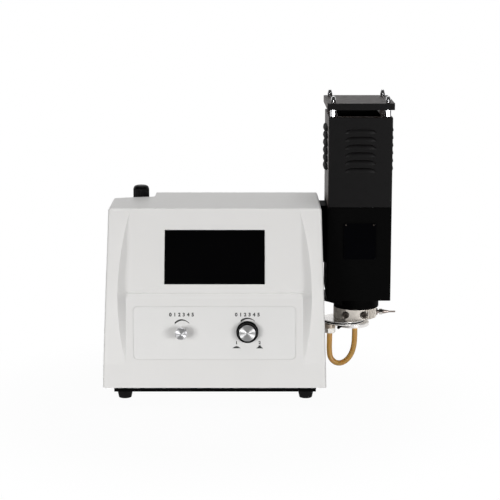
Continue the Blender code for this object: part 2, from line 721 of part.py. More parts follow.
def loft(name, sections, surface=None, parent=None, cutter=False):
    """Skins closed sections that hold equally many points, and closes both ends"""
    bm = bmesh.new()
    rings = [[bm.verts.new(point) for point in section] for section in sections]
    count = len(rings[0])
    for one, two in zip(rings, rings[1:]):
        for i in range(count):
            j = (i + 1) % count
            bm.faces.new((one[i], one[j], two[j], two[i]))
    bm.faces.new(rings[0])
    bm.faces.new(rings[-1][::-1])
    bmesh.ops.remove_doubles(bm, verts=bm.verts, dist=MERGE)
    return mesh_object(name, bm, parent, surface, cutter)


def smooth_route(points, step):
    """Even points along a smooth curve through a route's own points"""
    ends = [2 * Vector(points[0]) - Vector(points[1]), 2 * Vector(points[-1]) - Vector(points[-2])]
    knots = [ends[0], *map(Vector, points), ends[1]]
    dense = []
    for a, b, c, d in zip(knots, knots[1:], knots[2:], knots[3:]):
        for i in range(ROUTE_PIECES):
            t = i / ROUTE_PIECES
            square = (2 * a - 5 * b + 4 * c - d) * t**2
            cube = (3 * b - a - 3 * c + d) * t**3
            dense.append(HALF * (2 * b + (c - a) * t + square + cube))
    dense.append(knots[-2])
    travelled = [0.0]
    for one, two in zip(dense, dense[1:]):
        travelled.append(travelled[-1] + (two - one).length)
    count = max(2, round(travelled[-1] / step))
    even = []
    place = 0
    for i in range(count + 1):
        goal = travelled[-1] * i / count
        while place < len(dense) - 2 and travelled[place + 1] < goal:
            place += 1
        span = travelled[place + 1] - travelled[place]
        even.append(dense[place].lerp(dense[place + 1], (goal - travelled[place]) / span))
    return even


def tube(name, points, radius, surface):
    """A tube along a smooth route, as a curve with filled caps"""
    curve = bpy.data.curves.new(name, "CURVE")
    curve.dimensions = "3D"
    curve.bevel_depth = radius
    curve.bevel_resolution = TUBE_RESOLUTION
    curve.use_fill_caps = True
    spline = curve.splines.new("POLY")
    spline.points.add(len(points) - 1)
    for point, place in zip(spline.points, points):
        point.co = (*place, 1.0)
    item = bpy.data.objects.new(name, curve)
    item.parent = FRAME
    curve.materials.append(material(name, *surface))
    PARTS.objects.link(item)
    return item


# Surfaces as (colour, roughness, metallic)
PALE_PAINT = ((0.70, 0.69, 0.67), 0.45)
BLACK_PAINT = ((0.012, 0.011, 0.012), 0.42)
BLACK_PLASTIC = ((0.015, 0.015, 0.016), 0.40)
BLACK_RUBBER = ((0.010, 0.010, 0.010), 0.75)
CHROME = ((0.80, 0.80, 0.80), 0.12, 1.0)
STEEL = ((0.55, 0.54, 0.52), 0.30, 1.0)
ALUMINIUM = ((0.72, 0.72, 0.71), 0.32, 1.0)
BRASS = ((0.75, 0.55, 0.25), 0.30, 1.0)
DARK_GLASS = ((0.006, 0.006, 0.008), 0.08)
CLEAR_GLASS = ((0.85, 0.90, 0.90), 0.05)
BOARD_GREEN = ((0.02, 0.16, 0.07), 0.45)
AMBER_RUBBER = ((0.45, 0.24, 0.05), 0.42)
OVERLAY = ((0.71, 0.70, 0.68), 0.38)


# Console profile
def taper_half_width(z):
    share = (z - CASE_RIM_Z) / CASE_HEIGHT
    return CASE_FOOT_HALF_WIDTH + (CASE_HEAD_HALF_WIDTH - CASE_FOOT_HALF_WIDTH) * share


def half_width(z, inset=0.0, top=CASE_TOP_Z):
    """Half width of the console at a height, with the rounded edge under its top"""
    radius = CASE_CORNER - inset
    rise = max(0.0, z - (top - inset - radius))
    return taper_half_width(z) - inset - (radius - math.sqrt(max(0.0, radius**2 - rise**2)))


def ledge_share(z):
    """How far the lower block's rounded top edge has turned back towards the leaning face"""
    rise = min(1.0, max(0.0, (z - CREASE_Z) / LEDGE_ROUND + 1.0))
    return 1.0 - math.sqrt(1.0 - rise**2)


def centre_half_width(z):
    return CENTRE_FOOT_HALF_WIDTH + (CENTRE_HEAD_HALF_WIDTH - CENTRE_FOOT_HALF_WIDTH) * ledge_share(z)


def face_y(z):
    """The raised centre's face: a proud upright block with a rounded top edge, then the leaning part"""
    if z < CREASE_Z:
        return CREASE_Y + (z - CREASE_Z) * math.tan(FACE_TILT) + LEDGE_DEPTH * ledge_share(z)
    return SCREEN_FOOT_Y + (z - CREASE_Z) * math.tan(SCREEN_TILT)


def blend(z, foot, knee, head):
    """A value along the side strips' long curve, from its foot past its knee to its head"""
    a = BLEND_LOW_Z - 2 * CREASE_Z + BLEND_HIGH_Z
    b = 2 * (CREASE_Z - BLEND_LOW_Z)
    c = BLEND_LOW_Z - min(BLEND_HIGH_Z, max(BLEND_LOW_Z, z))
    t = -2 * c / (b + math.sqrt(b**2 - 4 * a * c))
    return (1 - t) ** 2 * foot + 2 * t * (1 - t) * knee + t**2 * head


def strip_y(z):
    """The side strips' face: one long curve between both parts, with a soft edge at the top"""
    y = face_y(z)
    if BLEND_LOW_Z < z < BLEND_HIGH_Z:
        y = blend(z, face_y(BLEND_LOW_Z), STRIP_KNEE_Y, face_y(BLEND_HIGH_Z))
    rise = max(0.0, z - (CASE_TOP_Z - SHOULDER_RADIUS))
    return y + SHOULDER_RADIUS - math.sqrt(max(0.0, SHOULDER_RADIUS**2 - rise**2))


def front_half_row(z, inset):
    """Right half of the front's level section: centre, drafted side, strip, corner, side"""
    half = half_width(z, inset)
    corner = CASE_CORNER - inset
    raised = face_y(z)
    strip = strip_y(z)
    inner = centre_half_width(z)
    outer = blend(z, STRIP_EDGE_FOOT_X, STRIP_EDGE_KNEE_X, STRIP_EDGE_HEAD_X)
    rim = [(half - corner + x, strip + inset + corner - y)
           for x, y in arc((0.0, 0.0), corner, 1.0, 0.0, CORNER_STEPS)]
    return [(inner, raised + inset), (outer, strip + inset), *rim, (half, SEAM_Y)]


def whole_row(half_row, z):
    left = [(-x, y, z) for x, y in half_row[::-1]]
    return left + [(x, y, z) for x, y in half_row]


def front_levels():
    ledge_z = CREASE_Z - LEDGE_ROUND
    lower = [BLEND_LOW_Z + (ledge_z - BLEND_LOW_Z) * i / BLEND_STEPS for i in range(BLEND_STEPS)]
    ledge = [ledge_z + LEDGE_ROUND * math.sin(QUARTER_TURN * i / LEDGE_STEPS) for i in range(LEDGE_STEPS)]
    upper = [CREASE_Z + (BLEND_HIGH_Z - CREASE_Z) * i / BLEND_STEPS for i in range(BLEND_STEPS)]
    start = CASE_TOP_Z - CASE_CORNER
    edge = [start + CASE_CORNER * math.sin(QUARTER_TURN * i / CORNER_STEPS) for i in range(CORNER_STEPS + 1)]
    return [CASE_RIM_Z, *lower, *ledge, *upper, *edge]


def make_front_moulding():
    """One moulding: side strips, raised centre and the first stretch of the sides"""
    sections = []
    levels = front_levels()
    ceiling = whole_row(front_half_row(CASE_CEILING_Z, CASE_WALL), CASE_CEILING_Z)
    for z in sorted([z for z in levels if z < CASE_CEILING_Z] + [CASE_CEILING_Z]):
        inner = whole_row(front_half_row(z, CASE_WALL), z)
        sections.append(whole_row(front_half_row(z, 0.0), z) + inner[::-1])
    # Above the ceiling the section is solid back to the seam
    for z in [CASE_CEILING_Z] + [z for z in levels if z > CASE_CEILING_Z]:
        shrink = half_width(z) / half_width(CASE_CEILING_Z)
        inner = [(x * shrink, SEAM_Y, z) for x, _, _ in ceiling]
        sections.append(whole_row(front_half_row(z, 0.0), z) + inner[::-1])
    front = loft("front_moulding", sections, PALE_PAINT)
    bm = bmesh.new()
    for side in (-1, 1):
        x = side * FRONT_POST_X
        half = POST_SIZE * HALF
        add_block(bm, (x - half, FRONT_POST_Y - half, PAN_TOP_Z + GAP),
                  (x + half, FRONT_POST_Y + half, POST_TOP_Z))
    posts = mesh_object("front_posts", bm, cutter=True)
    bm = bmesh.new()
    for side in (-1, 1):
        x = side * FRONT_POST_X
        half = POST_SIZE * HALF
        wall_y = face_y(POST_TOP_Z) + CASE_WALL - SEAT
        add_block(bm, (x - half, wall_y, POST_WEB_Z), (x + half, FRONT_POST_Y, POST_TOP_Z - SEAT))
    webs = mesh_object("front_webs", bm, cutter=True)
    join(join(front, webs), posts)
    bm = bmesh.new()
    for side in (-1, 1):
        add_rod(bm, SCREW_RADIUS + FIT, (side * FRONT_POST_X, FRONT_POST_Y, PAN_Z), CASE_SCREW_IN + PAN_SHEET,
                steps=TINY_STEPS)
    cut(front, mesh_object("front_post_holes", bm, cutter=True))
    shape = rounded_rectangle(SCREEN_WIDTH, SCREEN_HEIGHT, SCREEN_CORNER, (0.0, SCREEN_CENTRE_UP))
    cut(front, outline("screen_opening", [shape], 2 * (CASE_WALL + OVERRUN), parent=SCREEN_FRAME, cutter=True))
    rise = PLATE_CENTRE_Z - VALVE_Z
    recess_size = (PLATE_WIDTH + 2 * GAP, PLATE_HEIGHT + 2 * GAP, PLATE_CORNER + GAP, (0.0, rise))
    depth = PLATE_THICKNESS - PLATE_PROUD + GAP
    recess = outline("plate_recess", [rounded_rectangle(*recess_size)], 2 * depth, parent=CONTROL_FRAME,
                     cutter=True)
    cut(front, recess)
    for name, side in (("fine", -1), ("gas", 1)):
        cut(front, rod(name + "_hole", VALVE_BUSH_RADIUS + FIT, (side * VALVE_X, -OVERRUN, 0.0),
                       CASE_WALL + 2 * OVERRUN, "y", parent=CONTROL_FRAME, cutter=True, steps=SMALL_STEPS))
    return front


def make_control_plate():
    rise = PLATE_CENTRE_Z - VALVE_Z
    loops = [
        rounded_rectangle(PLATE_WIDTH, PLATE_HEIGHT, PLATE_CORNER, (0.0, rise)),
        circle((-VALVE_X, 0.0), VALVE_BUSH_RADIUS + FIT),
        circle((VALVE_X, 0.0), VALVE_BUSH_RADIUS + FIT),
    ]
    plate = outline("control_plate", loops, PLATE_THICKNESS, OVERLAY, CONTROL_FRAME)
    plate.location = (0.0, PLATE_THICKNESS * HALF - PLATE_PROUD, 0.0)
    return plate


# Top cover: top, sides and rear slope, with the pocket
def cover_top_z(y, inset):
    bend_y = TOP_REAR_Y - inset * math.tan(REAR_SLOPE * HALF)
    return CASE_TOP_Z - inset - max(0.0, y - bend_y) * math.tan(REAR_SLOPE)


def cover_section(y, inset, floor_z):
    """Section of the cover at a depth, from its left foot over the top to its right foot"""
    top = cover_top_z(y, inset)
    radius = CASE_CORNER - inset
    right = [(taper_half_width(floor_z) - inset, floor_z)]
    for x, z in arc((0.0, 0.0), radius, 0.0, 1.0, CORNER_STEPS):
        right.append((taper_half_width(top - radius + z) - inset - radius + x, top - radius + z))
    left = [(-x, z) for x, z in right[::-1]]
    return [(x, y, z) for x, z in right + left]


def cover_solid(name, start_y, end_y, inset, floor_z, surface=None, cutter=False):
    bend_y = TOP_REAR_Y - inset * math.tan(REAR_SLOPE * HALF)
    sections = [cover_section(y, inset, floor_z) for y in (start_y, bend_y, end_y)]
    return loft(name, sections, surface, cutter=cutter)


def pocket_prism(name, grow, top_z):
    """The pocket's space, open to the left and to the rear, grown by a wall where asked"""
    right = POCKET_RIGHT_X + grow
    left = -CASE_FOOT_HALF_WIDTH - OVERRUN
    rear = REAR_Y + 2 * OVERRUN
    corner = POCKET_CORNER + grow
    points = [(left, rear), (left, POCKET_FRONT_LEFT_Y - grow)]
    points += arc((right - corner, POCKET_FRONT_RIGHT_Y - grow + corner), corner, -1.0, 0.0, CORNER_STEPS)
    points += [(right, rear)]
    floor = POCKET_FLOOR_Z - grow
    return loft(name, [[(x, y, z) for x, y in points] for z in (floor, top_z)], cutter=True)


def make_top_cover():
    cover = cover_solid("top_cover", SEAM_Y + GAP, REAR_Y, 0.0, CASE_RIM_Z, PALE_PAINT)
    cut(cover, pocket_prism("pocket_space", 0.0, CASE_TOP_Z + OVERRUN))
    hollow = cover_solid("cover_hollow", SEAM_Y - OVERRUN, REAR_Y + OVERRUN, CASE_WALL, CASE_RIM_Z - OVERRUN,
                         cutter=True)
    cut(hollow, pocket_prism("pocket_wall", CASE_WALL, CASE_TOP_Z + 2 * OVERRUN))
    cut(cover, hollow)
    bm = bmesh.new()
    holes = bmesh.new()
    half = POST_SIZE * HALF
    for side in (-1, 1):
        for y in (SIDE_POST_FRONT_Y, SIDE_POST_REAR_Y):
            x = side * SIDE_POST_X
            add_block(bm, (x - half, y - half, PAN_TOP_Z + GAP), (x + half, y + half, POST_TOP_Z))
            add_rod(holes, SCREW_RADIUS + FIT, (x, y, PAN_Z), CASE_SCREW_IN + PAN_SHEET, steps=TINY_STEPS)
    posts = mesh_object("side_posts", bm, cutter=True)
    bm = bmesh.new()
    reach = taper_half_width(POST_TOP_Z) - CASE_WALL + SEAT
    for side in (-1, 1):
        for y in (SIDE_POST_FRONT_Y, SIDE_POST_REAR_Y):
            low, high = sorted((side * SIDE_POST_X, side * reach))
            inner_y = half - SEAT
            add_block(bm, (low, y - inner_y, POST_WEB_Z), (high, y + inner_y, POST_TOP_Z - SEAT))
    webs = mesh_object("side_webs", bm, cutter=True)
    join(join(cover, webs), posts)
    cut(cover, mesh_object("side_post_holes", holes, cutter=True))
    cut(cover, rod("regulator_hole", REGULATOR_NECK_RADIUS + FIT,
                   (REGULATOR_X, REGULATOR_Y, POCKET_FLOOR_Z - CASE_WALL - OVERRUN), CASE_WALL + 2 * OVERRUN,
                   cutter=True, steps=SMALL_STEPS))
    start = taper_half_width(BEAM_Z) - CASE_WALL - OVERRUN
    cut(cover, rod("beam_hole", COUPLING_TUBE_RADIUS + FIT, (start, FLAME_Y, BEAM_Z),
                   CASE_WALL + 2 * OVERRUN, "x", cutter=True))
    return cover


# Base pan, feet and screws
def foot_places():
    return [("front_left", -FOOT_X, FOOT_FRONT_Y), ("front_right", FOOT_X, FOOT_FRONT_Y),
            ("rear_left", -FOOT_X, FOOT_REAR_Y), ("rear_right", FOOT_X, FOOT_REAR_Y)]


def case_screw_places():
    return [(side * x, y) for side in (-1, 1) for x, y in
            ((FRONT_POST_X, FRONT_POST_Y), (SIDE_POST_X, SIDE_POST_FRONT_Y), (SIDE_POST_X, SIDE_POST_REAR_Y))]


def corner_places(low_x, width, front_y, depth, inset):
    return [(x, y) for x in (low_x + inset, low_x + width - inset)
            for y in (front_y + inset, front_y + depth - inset)]


def make_base_pan():
    pan = block("base_pan", (-PAN_HALF_WIDTH, PAN_FRONT_Y, PAN_Z),
                (PAN_HALF_WIDTH, PAN_REAR_Y, PAN_FLANGE_TOP_Z), BLACK_PAINT)
    inner = PAN_HALF_WIDTH - PAN_SHEET
    cut(pan, block("pan_hollow", (-inner, PAN_FRONT_Y + PAN_SHEET, PAN_TOP_Z),
                   (inner, PAN_REAR_Y - PAN_SHEET, PAN_FLANGE_TOP_Z + OVERRUN), cutter=True))
    bm = bmesh.new()
    for x, y in corner_places(MAIN_BOARD_LOW_X, MAIN_BOARD_WIDTH, MAIN_BOARD_FRONT_Y, MAIN_BOARD_DEPTH,
                              BOARD_HOLE_INSET):
        add_rod(bm, STANDOFF_RADIUS, (x, y, PAN_TOP_Z - SEAT), MAIN_BOARD_Z - GAP - PAN_TOP_Z + SEAT,
                steps=TINY_STEPS)
    for x, y in corner_places(SUPPLY_LOW_X, SUPPLY_WIDTH, SUPPLY_FRONT_Y, SUPPLY_DEPTH, BOARD_HOLE_INSET):
        add_rod(bm, STANDOFF_RADIUS, (x, y, PAN_TOP_Z - SEAT), SUPPLY_LIFT - GAP + SEAT, steps=TINY_STEPS)
    join(pan, mesh_object("pan_standoffs", bm, cutter=True))
    bm = bmesh.new()
    for _, x, y in foot_places():
        add_rod(bm, FOOT_STEM_RADIUS + FIT, (x, y, PAN_Z - OVERRUN), PAN_SHEET + 2 * OVERRUN, steps=TINY_STEPS)
    for x, y in case_screw_places():
        add_rod(bm, SCREW_RADIUS + FIT, (x, y, PAN_Z - OVERRUN), PAN_SHEET + 2 * OVERRUN, steps=TINY_STEPS)
    return cut(pan, mesh_object("pan_holes", bm, cutter=True))


def make_foot(label, x, y):
    """A rubber foot, held by its own stem pushed up through the pan"""
    top = PAN_Z - GAP
    stem_top = PAN_TOP_Z + FOOT_STEM_IN
    profile = [(0.0, stem_top), (FOOT_STEM_RADIUS, stem_top), (FOOT_STEM_RADIUS, top), (FOOT_TOP_RADIUS, top),
               (FOOT_BASE_RADIUS, FOOT_SOLE_CHAMFER), (FOOT_BASE_RADIUS - FOOT_SOLE_CHAMFER, 0.0), (0.0, 0.0)]
    return turned("foot_" + label, profile, (x, y, 0.0), BLACK_RUBBER)


def bar(name, radius, length, place, axis, surface, parent=None):
    """A plain round bar that runs from place along an axis and has its origin there"""
    profile = [(0.0, length), (radius, length), (radius, 0.0), (0.0, 0.0)]
    return turned(name, profile, place, surface, axis, parent, SMALL_STEPS)


# Boards and supply
def make_main_board():
    low = (MAIN_BOARD_LOW_X, MAIN_BOARD_FRONT_Y, MAIN_BOARD_Z)
    size = (MAIN_BOARD_WIDTH, MAIN_BOARD_DEPTH, BOARD_THICKNESS)
    high = tuple(start + length for start, length in zip(low, size))
    board = block("main_board", low, high, BOARD_GREEN)
    bm = bmesh.new()
    sunk = MAIN_BOARD_Z + BOARD_THICKNESS * HALF
    # Parts on the board as (x, y, width, depth) shares of the board and a height in shares of its width
    part_shares = (
        (0.14, 0.62, 0.16, 0.18, 0.02),
        (0.42, 0.55, 0.22, 0.22, 0.025),
        (0.74, 0.70, 0.12, 0.20, 0.10),
        (0.12, 0.16, 0.30, 0.07, 0.07),
        (0.56, 0.14, 0.30, 0.07, 0.07),
    )
    for x, y, w, d, h in part_shares:
        start = Vector((low[0] + x * MAIN_BOARD_WIDTH, low[1] + y * MAIN_BOARD_DEPTH, sunk))
        add_block(bm, start, start + Vector((w, d, h)) * MAIN_BOARD_WIDTH)
    return join(board, mesh_object("board_parts", bm, cutter=True))


def make_power_supply():
    z = PAN_TOP_Z + SUPPLY_LIFT
    low = (SUPPLY_LOW_X, SUPPLY_FRONT_Y, z)
    high = (SUPPLY_LOW_X + SUPPLY_WIDTH, SUPPLY_FRONT_Y + SUPPLY_DEPTH, z + SUPPLY_HEIGHT)
    return soften(block("power_supply", low, high, ALUMINIUM), SUPPLY_EDGE)


# Screen
def make_screen():
    glass_back = CASE_WALL * math.cos(SCREEN_TILT) + GAP
    half_w = SCREEN_WIDTH * HALF + GLASS_BORDER
    half_h = SCREEN_HEIGHT * HALF + GLASS_BORDER
    block("touch_screen", (-half_w, glass_back, SCREEN_CENTRE_UP - half_h),
          (half_w, glass_back + GLASS_THICKNESS, SCREEN_CENTRE_UP + half_h), DARK_GLASS, SCREEN_FRAME)
    start = glass_back + GLASS_THICKNESS + GAP
    ear_w = half_w + DISPLAY_EAR
    module = block("display_module", (-half_w, start, SCREEN_CENTRE_UP - half_h),
                   (half_w, start + DISPLAY_THICKNESS, SCREEN_CENTRE_UP + half_h), STEEL, SCREEN_FRAME)
    bm = bmesh.new()
    for side in (-1, 1):
        low, high = sorted((side * (half_w - SEAT), side * (ear_w + DISPLAY_EAR)))
        add_block(bm, (low, start + SEAT, SCREEN_CENTRE_UP - half_h + DISPLAY_EAR),
                  (high, start + SEAT + DISPLAY_EAR_SHEET, SCREEN_CENTRE_UP + half_h - DISPLAY_EAR))
    join(module, mesh_object("display_ears", bm, parent=SCREEN_FRAME, cutter=True))
    posts = bmesh.new()
    for side in (-1, 1):
        for end in (-1, 1):
            x = side * (ear_w + DISPLAY_EAR * HALF - SEAT * HALF)
            z = SCREEN_CENTRE_UP + end * (half_h - DISPLAY_POST)
            add_rod(posts, DISPLAY_EAR * HALF, (x, glass_back - GAP - SEAT, z),
                    start + SEAT - glass_back + SEAT, "y", steps=TINY_STEPS)
    return mesh_object("display_posts", posts, parent=SCREEN_FRAME, cutter=True)


# Valves on the front; in their frame -Y points out of the face
def make_fine_valve():
    place = Vector((-VALVE_X, 0.0, 0.0))
    back = CASE_WALL + GAP
    bore = FINE_STEM_RADIUS + FIT
    front = FINE_BUSH_OUT
    deep = FINE_STEM_IN + FIT
    profile = [(0.0, -deep), (bore, -deep), (bore, front), (VALVE_BUSH_RADIUS, front),
               (VALVE_BUSH_RADIUS, -back), (FINE_BODY_RADIUS, -back),
               (FINE_BODY_RADIUS, -back - FINE_BODY_LENGTH), (0.0, -back - FINE_BODY_LENGTH)]
    body = turned("fine_valve_body", profile, place, BRASS, "out", CONTROL_FRAME)
    middle = back + FINE_BODY_LENGTH * HALF
    bm = bmesh.new()
    add_rod(bm, FINE_PORT_RADIUS, place + Vector((0.0, middle, FINE_BODY_RADIUS - 2 * SEAT)),
            FINE_PORT_LENGTH + 2 * SEAT, steps=TINY_STEPS)
    add_rod(bm, FINE_PORT_RADIUS, place + Vector((0.0, back + FINE_BODY_LENGTH - SEAT, 0.0)),
            FINE_PORT_LENGTH + SEAT, "y", steps=TINY_STEPS)
    join(body, mesh_object("fine_valve_ports", bm, CONTROL_FRAME, cutter=True))
    neck = FINE_BUSH_OUT + GAP
    rim = FINE_KNOB_OUT - FINE_KNOB_LENGTH
    edge = FINE_KNOB_EDGE
    profile = [(0.0, FINE_KNOB_OUT), (FINE_KNOB_RADIUS - edge, FINE_KNOB_OUT),
               (FINE_KNOB_RADIUS, FINE_KNOB_OUT - edge), (FINE_KNOB_RADIUS, rim + edge),
               (FINE_KNOB_RADIUS - edge, rim), (FINE_KNOB_NECK_RADIUS, rim),
               (FINE_KNOB_NECK_RADIUS, neck), (FINE_STEM_RADIUS, neck), (FINE_STEM_RADIUS, -FINE_STEM_IN),
               (0.0, -FINE_STEM_IN)]
    turned("fine_adjust_knob", profile, place, CHROME, "out", CONTROL_FRAME)


def make_fine_valve_nut():
    front = -PLATE_PROUD - GAP - VALVE_NUT_HEIGHT
    nut = rod("fine_valve_nut", VALVE_NUT_RADIUS, (-VALVE_X, front, 0.0), VALVE_NUT_HEIGHT, "y", CHROME,
              CONTROL_FRAME, steps=HEX_SIDES)
    return cut(nut, rod("fine_valve_nut_bore", VALVE_BUSH_RADIUS + FIT, (-VALVE_X, front - OVERRUN, 0.0),
                        VALVE_NUT_HEIGHT + 2 * OVERRUN, "y", parent=CONTROL_FRAME, cutter=True,
                        steps=SMALL_STEPS))


def make_gas_valve():
    place = Vector((VALVE_X, 0.0, 0.0))
    back = CASE_WALL + GAP
    half = GAS_BODY_SIZE * HALF
    body = block("gas_valve_body", place + Vector((-half, back, -half)),
                 place + Vector((half, back + GAS_BODY_LENGTH, half)), BRASS, CONTROL_FRAME)
    bm = bmesh.new()
    add_rod(bm, VALVE_BUSH_RADIUS, place + Vector((0.0, -GAS_BUSH_OUT, 0.0)), GAS_BUSH_OUT + back + SEAT, "y",
            steps=SMALL_STEPS)
    add_rod(bm, FINE_PORT_RADIUS, place + Vector((0.0, back + GAS_BODY_LENGTH - SEAT, 0.0)),
            FINE_PORT_LENGTH, "y", steps=TINY_STEPS)
    add_rod(bm, FINE_PORT_RADIUS, place + Vector((0.0, back + GAS_BODY_LENGTH * HALF, half - SEAT)),
            FINE_PORT_LENGTH, steps=TINY_STEPS)
    join(body, mesh_object("gas_valve_bush", bm, CONTROL_FRAME, cutter=True))
    cut(body, rod("gas_valve_bore", GAS_STEM_RADIUS + FIT, place + Vector((0.0, -GAS_BUSH_OUT - OVERRUN, 0.0)),
                  GAS_BUSH_OUT + OVERRUN + GAS_STEM_IN + FIT, "y", parent=CONTROL_FRAME, cutter=True,
                  steps=SMALL_STEPS))
    stem_front = GAS_KNOB_FRONT - GAS_CAP_DEPTH - GAS_PUSH_TRAVEL - 3 * GAP
    bar("gas_valve_stem", GAS_STEM_RADIUS, GAS_STEM_IN + stem_front, place + Vector((0.0, GAS_STEM_IN, 0.0)),
        "out", STEEL, CONTROL_FRAME)
    bore = GAS_STEM_RADIUS + FIT
    front = GAS_KNOB_FRONT
    floor = front - GAS_CAP_DEPTH
    roof = stem_front + GAS_PUSH_TRAVEL + GAP
    inner = GAS_SKIRT_RADIUS - GAS_KNOB_WALL
    waist = (GAS_SKIRT_RADIUS + GAS_FACE_RADIUS) * HALF
    hub = GAS_BUSH_OUT + GAS_PUSH_TRAVEL + GAP
    profile = [(0.0, floor), (GAS_CAP_RADIUS + GAP, floor), (GAS_CAP_RADIUS + GAP, front),
               (GAS_FACE_RADIUS, front), (waist, GAS_KNOB_BACK + GAS_SKIRT_EDGE),
               (GAS_SKIRT_RADIUS, GAS_KNOB_BACK + GAS_SKIRT_EDGE), (GAS_SKIRT_RADIUS, GAS_KNOB_BACK),
               (inner, GAS_KNOB_BACK), (GAS_FACE_RADIUS - GAS_KNOB_WALL, roof - GAP),
               (GAS_HUB_RADIUS, roof - GAP), (GAS_HUB_RADIUS, hub), (bore, hub), (bore, roof), (0.0, roof)]
    turned("gas_valve_knob", profile, place, BLACK_PLASTIC, "out", CONTROL_FRAME, steps=WIDE_STEPS)
    rim = GAS_CAP_PROUD * HALF
    profile = [(0.0, front + GAS_CAP_PROUD), (GAS_CAP_RADIUS - rim, front + GAS_CAP_PROUD),
               (GAS_CAP_RADIUS, front + rim), (GAS_CAP_RADIUS, floor + GAP), (0.0, floor + GAP)]
    turned("gas_valve_cap", profile, place, ALUMINIUM, "out", CONTROL_FRAME, steps=WIDE_STEPS)


# Pressure regulator
def make_regulator():
    place = (REGULATOR_X, REGULATOR_Y, 0.0)
    under = POCKET_FLOOR_Z - CASE_WALL - GAP
    neck_top = POCKET_FLOOR_Z + REGULATOR_NECK_OUT
    stem_low = neck_top - REGULATOR_STEM_IN
    bore = REGULATOR_STEM_RADIUS + FIT
    low = under - REGULATOR_BODY_LENGTH
    profile = [(0.0, stem_low - FIT), (bore, stem_low - FIT), (bore, neck_top),
               (REGULATOR_NECK_RADIUS, neck_top), (REGULATOR_NECK_RADIUS, under),
               (REGULATOR_BODY_RADIUS, under), (REGULATOR_BODY_RADIUS, low), (0.0, low)]
    body = turned("regulator_body", profile, place, ALUMINIUM)
    bm = bmesh.new()
    port_z = low + REGULATOR_BODY_LENGTH * HALF
    reach = REGULATOR_BODY_RADIUS - SEAT
    for axis, aside, behind in (("x", reach, 0.0), ("y", 0.0, reach)):
        start = Vector((REGULATOR_X + aside, REGULATOR_Y + behind, port_z))
        add_rod(bm, REGULATOR_PORT_RADIUS, start, REGULATOR_PORT_LENGTH + SEAT, axis, steps=TINY_STEPS)
    join(body, mesh_object("regulator_ports", bm, cutter=True))
    top = REGULATOR_KNOB_TOP_Z
    roof = top - REGULATOR_KNOB_ROOF
    bar("regulator_stem", REGULATOR_STEM_RADIUS, roof - GAP - stem_low,
        (REGULATOR_X, REGULATOR_Y, stem_low), "z", STEEL)
    outer = REGULATOR_KNOB_RADIUS
    chamfer = REGULATOR_KNOB_CHAMFER
    foot = POCKET_FLOOR_Z + GAP
    wide = outer - REGULATOR_KNOB_WALL
    clear = neck_top + REGULATOR_PULL
    profile = [(0.0, top), (outer - 2 * chamfer, top), (outer - chamfer * HALF, top - chamfer * HALF),
               (outer, top - 2 * chamfer), (outer, foot), (wide, foot), (wide, clear), (bore, clear),
               (bore, roof), (0.0, roof)]
    turned("regulator_knob", profile, place, BLACK_PLASTIC)
    return port_z


# Optical train
def make_optics():
    back = FLAME_Y + OPTIC_HALF_DEPTH
    front = FLAME_Y - OPTIC_HALF_DEPTH
    box = block("optical_block", (OPTIC_LOW_X, front, OPTIC_LOW_Z), (OPTIC_HIGH_X, back, OPTIC_HIGH_Z),
                BLACK_PAINT)
    bore_start = OPTIC_LOW_X + OPTIC_END_WALL
    cut(box, rod("optical_bore", OPTIC_BORE_RADIUS, (bore_start, FLAME_Y, BEAM_Z),
                 OPTIC_HIGH_X - bore_start + OVERRUN, "x", cutter=True))
    cut(box, rod("detector_eye", EYE_RADIUS, (OPTIC_LOW_X - OVERRUN, FLAME_Y, BEAM_Z),
                 OPTIC_END_WALL + 2 * OVERRUN, "x", cutter=True, steps=TINY_STEPS))
    disc = OPTIC_BORE_RADIUS - GAP
    lens = [(0.0, LENS_THICKNESS), (disc * HALF, LENS_THICKNESS - LENS_BULGE * LENS_SHOULDER_SHARE),
            (disc, LENS_THICKNESS - LENS_BULGE), (disc, 0.0), (0.0, 0.0)]
    turned("beam_lens", lens, (LENS_X, FLAME_Y, BEAM_Z), CLEAR_GLASS, "x")
    rod("interference_filter", disc, (FILTER_X, FLAME_Y, BEAM_Z), FILTER_THICKNESS, "x", DARK_GLASS)
    board_x = OPTIC_LOW_X - GAP
    half = DETECTOR_SIZE * HALF
    board = block("detector_board", (board_x - BOARD_THICKNESS, FLAME_Y - half, BEAM_Z - half),
                  (board_x, FLAME_Y + half, BEAM_Z + half), BOARD_GREEN)
    join(board, rod("detector_can", EYE_RADIUS - FIT, (board_x - SEAT, FLAME_Y, BEAM_Z), OPTIC_END_WALL + SEAT,
                    "x", cutter=True, steps=TINY_STEPS))
    bm = bmesh.new()
    verts = add_block(bm, (0.0, COUPLING_FRONT_Y, COUPLING_LOW_Z),
                      (CHIMNEY_LEFT_X - GAP, COUPLING_FRONT_Y + COUPLING_DEPTH, COUPLING_HIGH_Z))
    for vert in verts:
        if vert.co.x < OPTIC_LOW_X:
            vert.co.x = taper_half_width(vert.co.z) + GAP
    coupling = mesh_object("optical_coupling", bm, surface=BLACK_PAINT)
    join(coupling, rod("coupling_tube", COUPLING_TUBE_RADIUS, (COUPLING_TUBE_LOW_X, FLAME_Y, BEAM_Z),
                       CHIMNEY_LEFT_X - COUPLING_TUBE_LOW_X - SEAT, "x", cutter=True))
    cut(coupling, rod("coupling_bore", COUPLING_BORE_RADIUS, (COUPLING_TUBE_LOW_X - OVERRUN, FLAME_Y, BEAM_Z),
                      CHIMNEY_LEFT_X - COUPLING_TUBE_LOW_X + 2 * OVERRUN, "x", cutter=True))


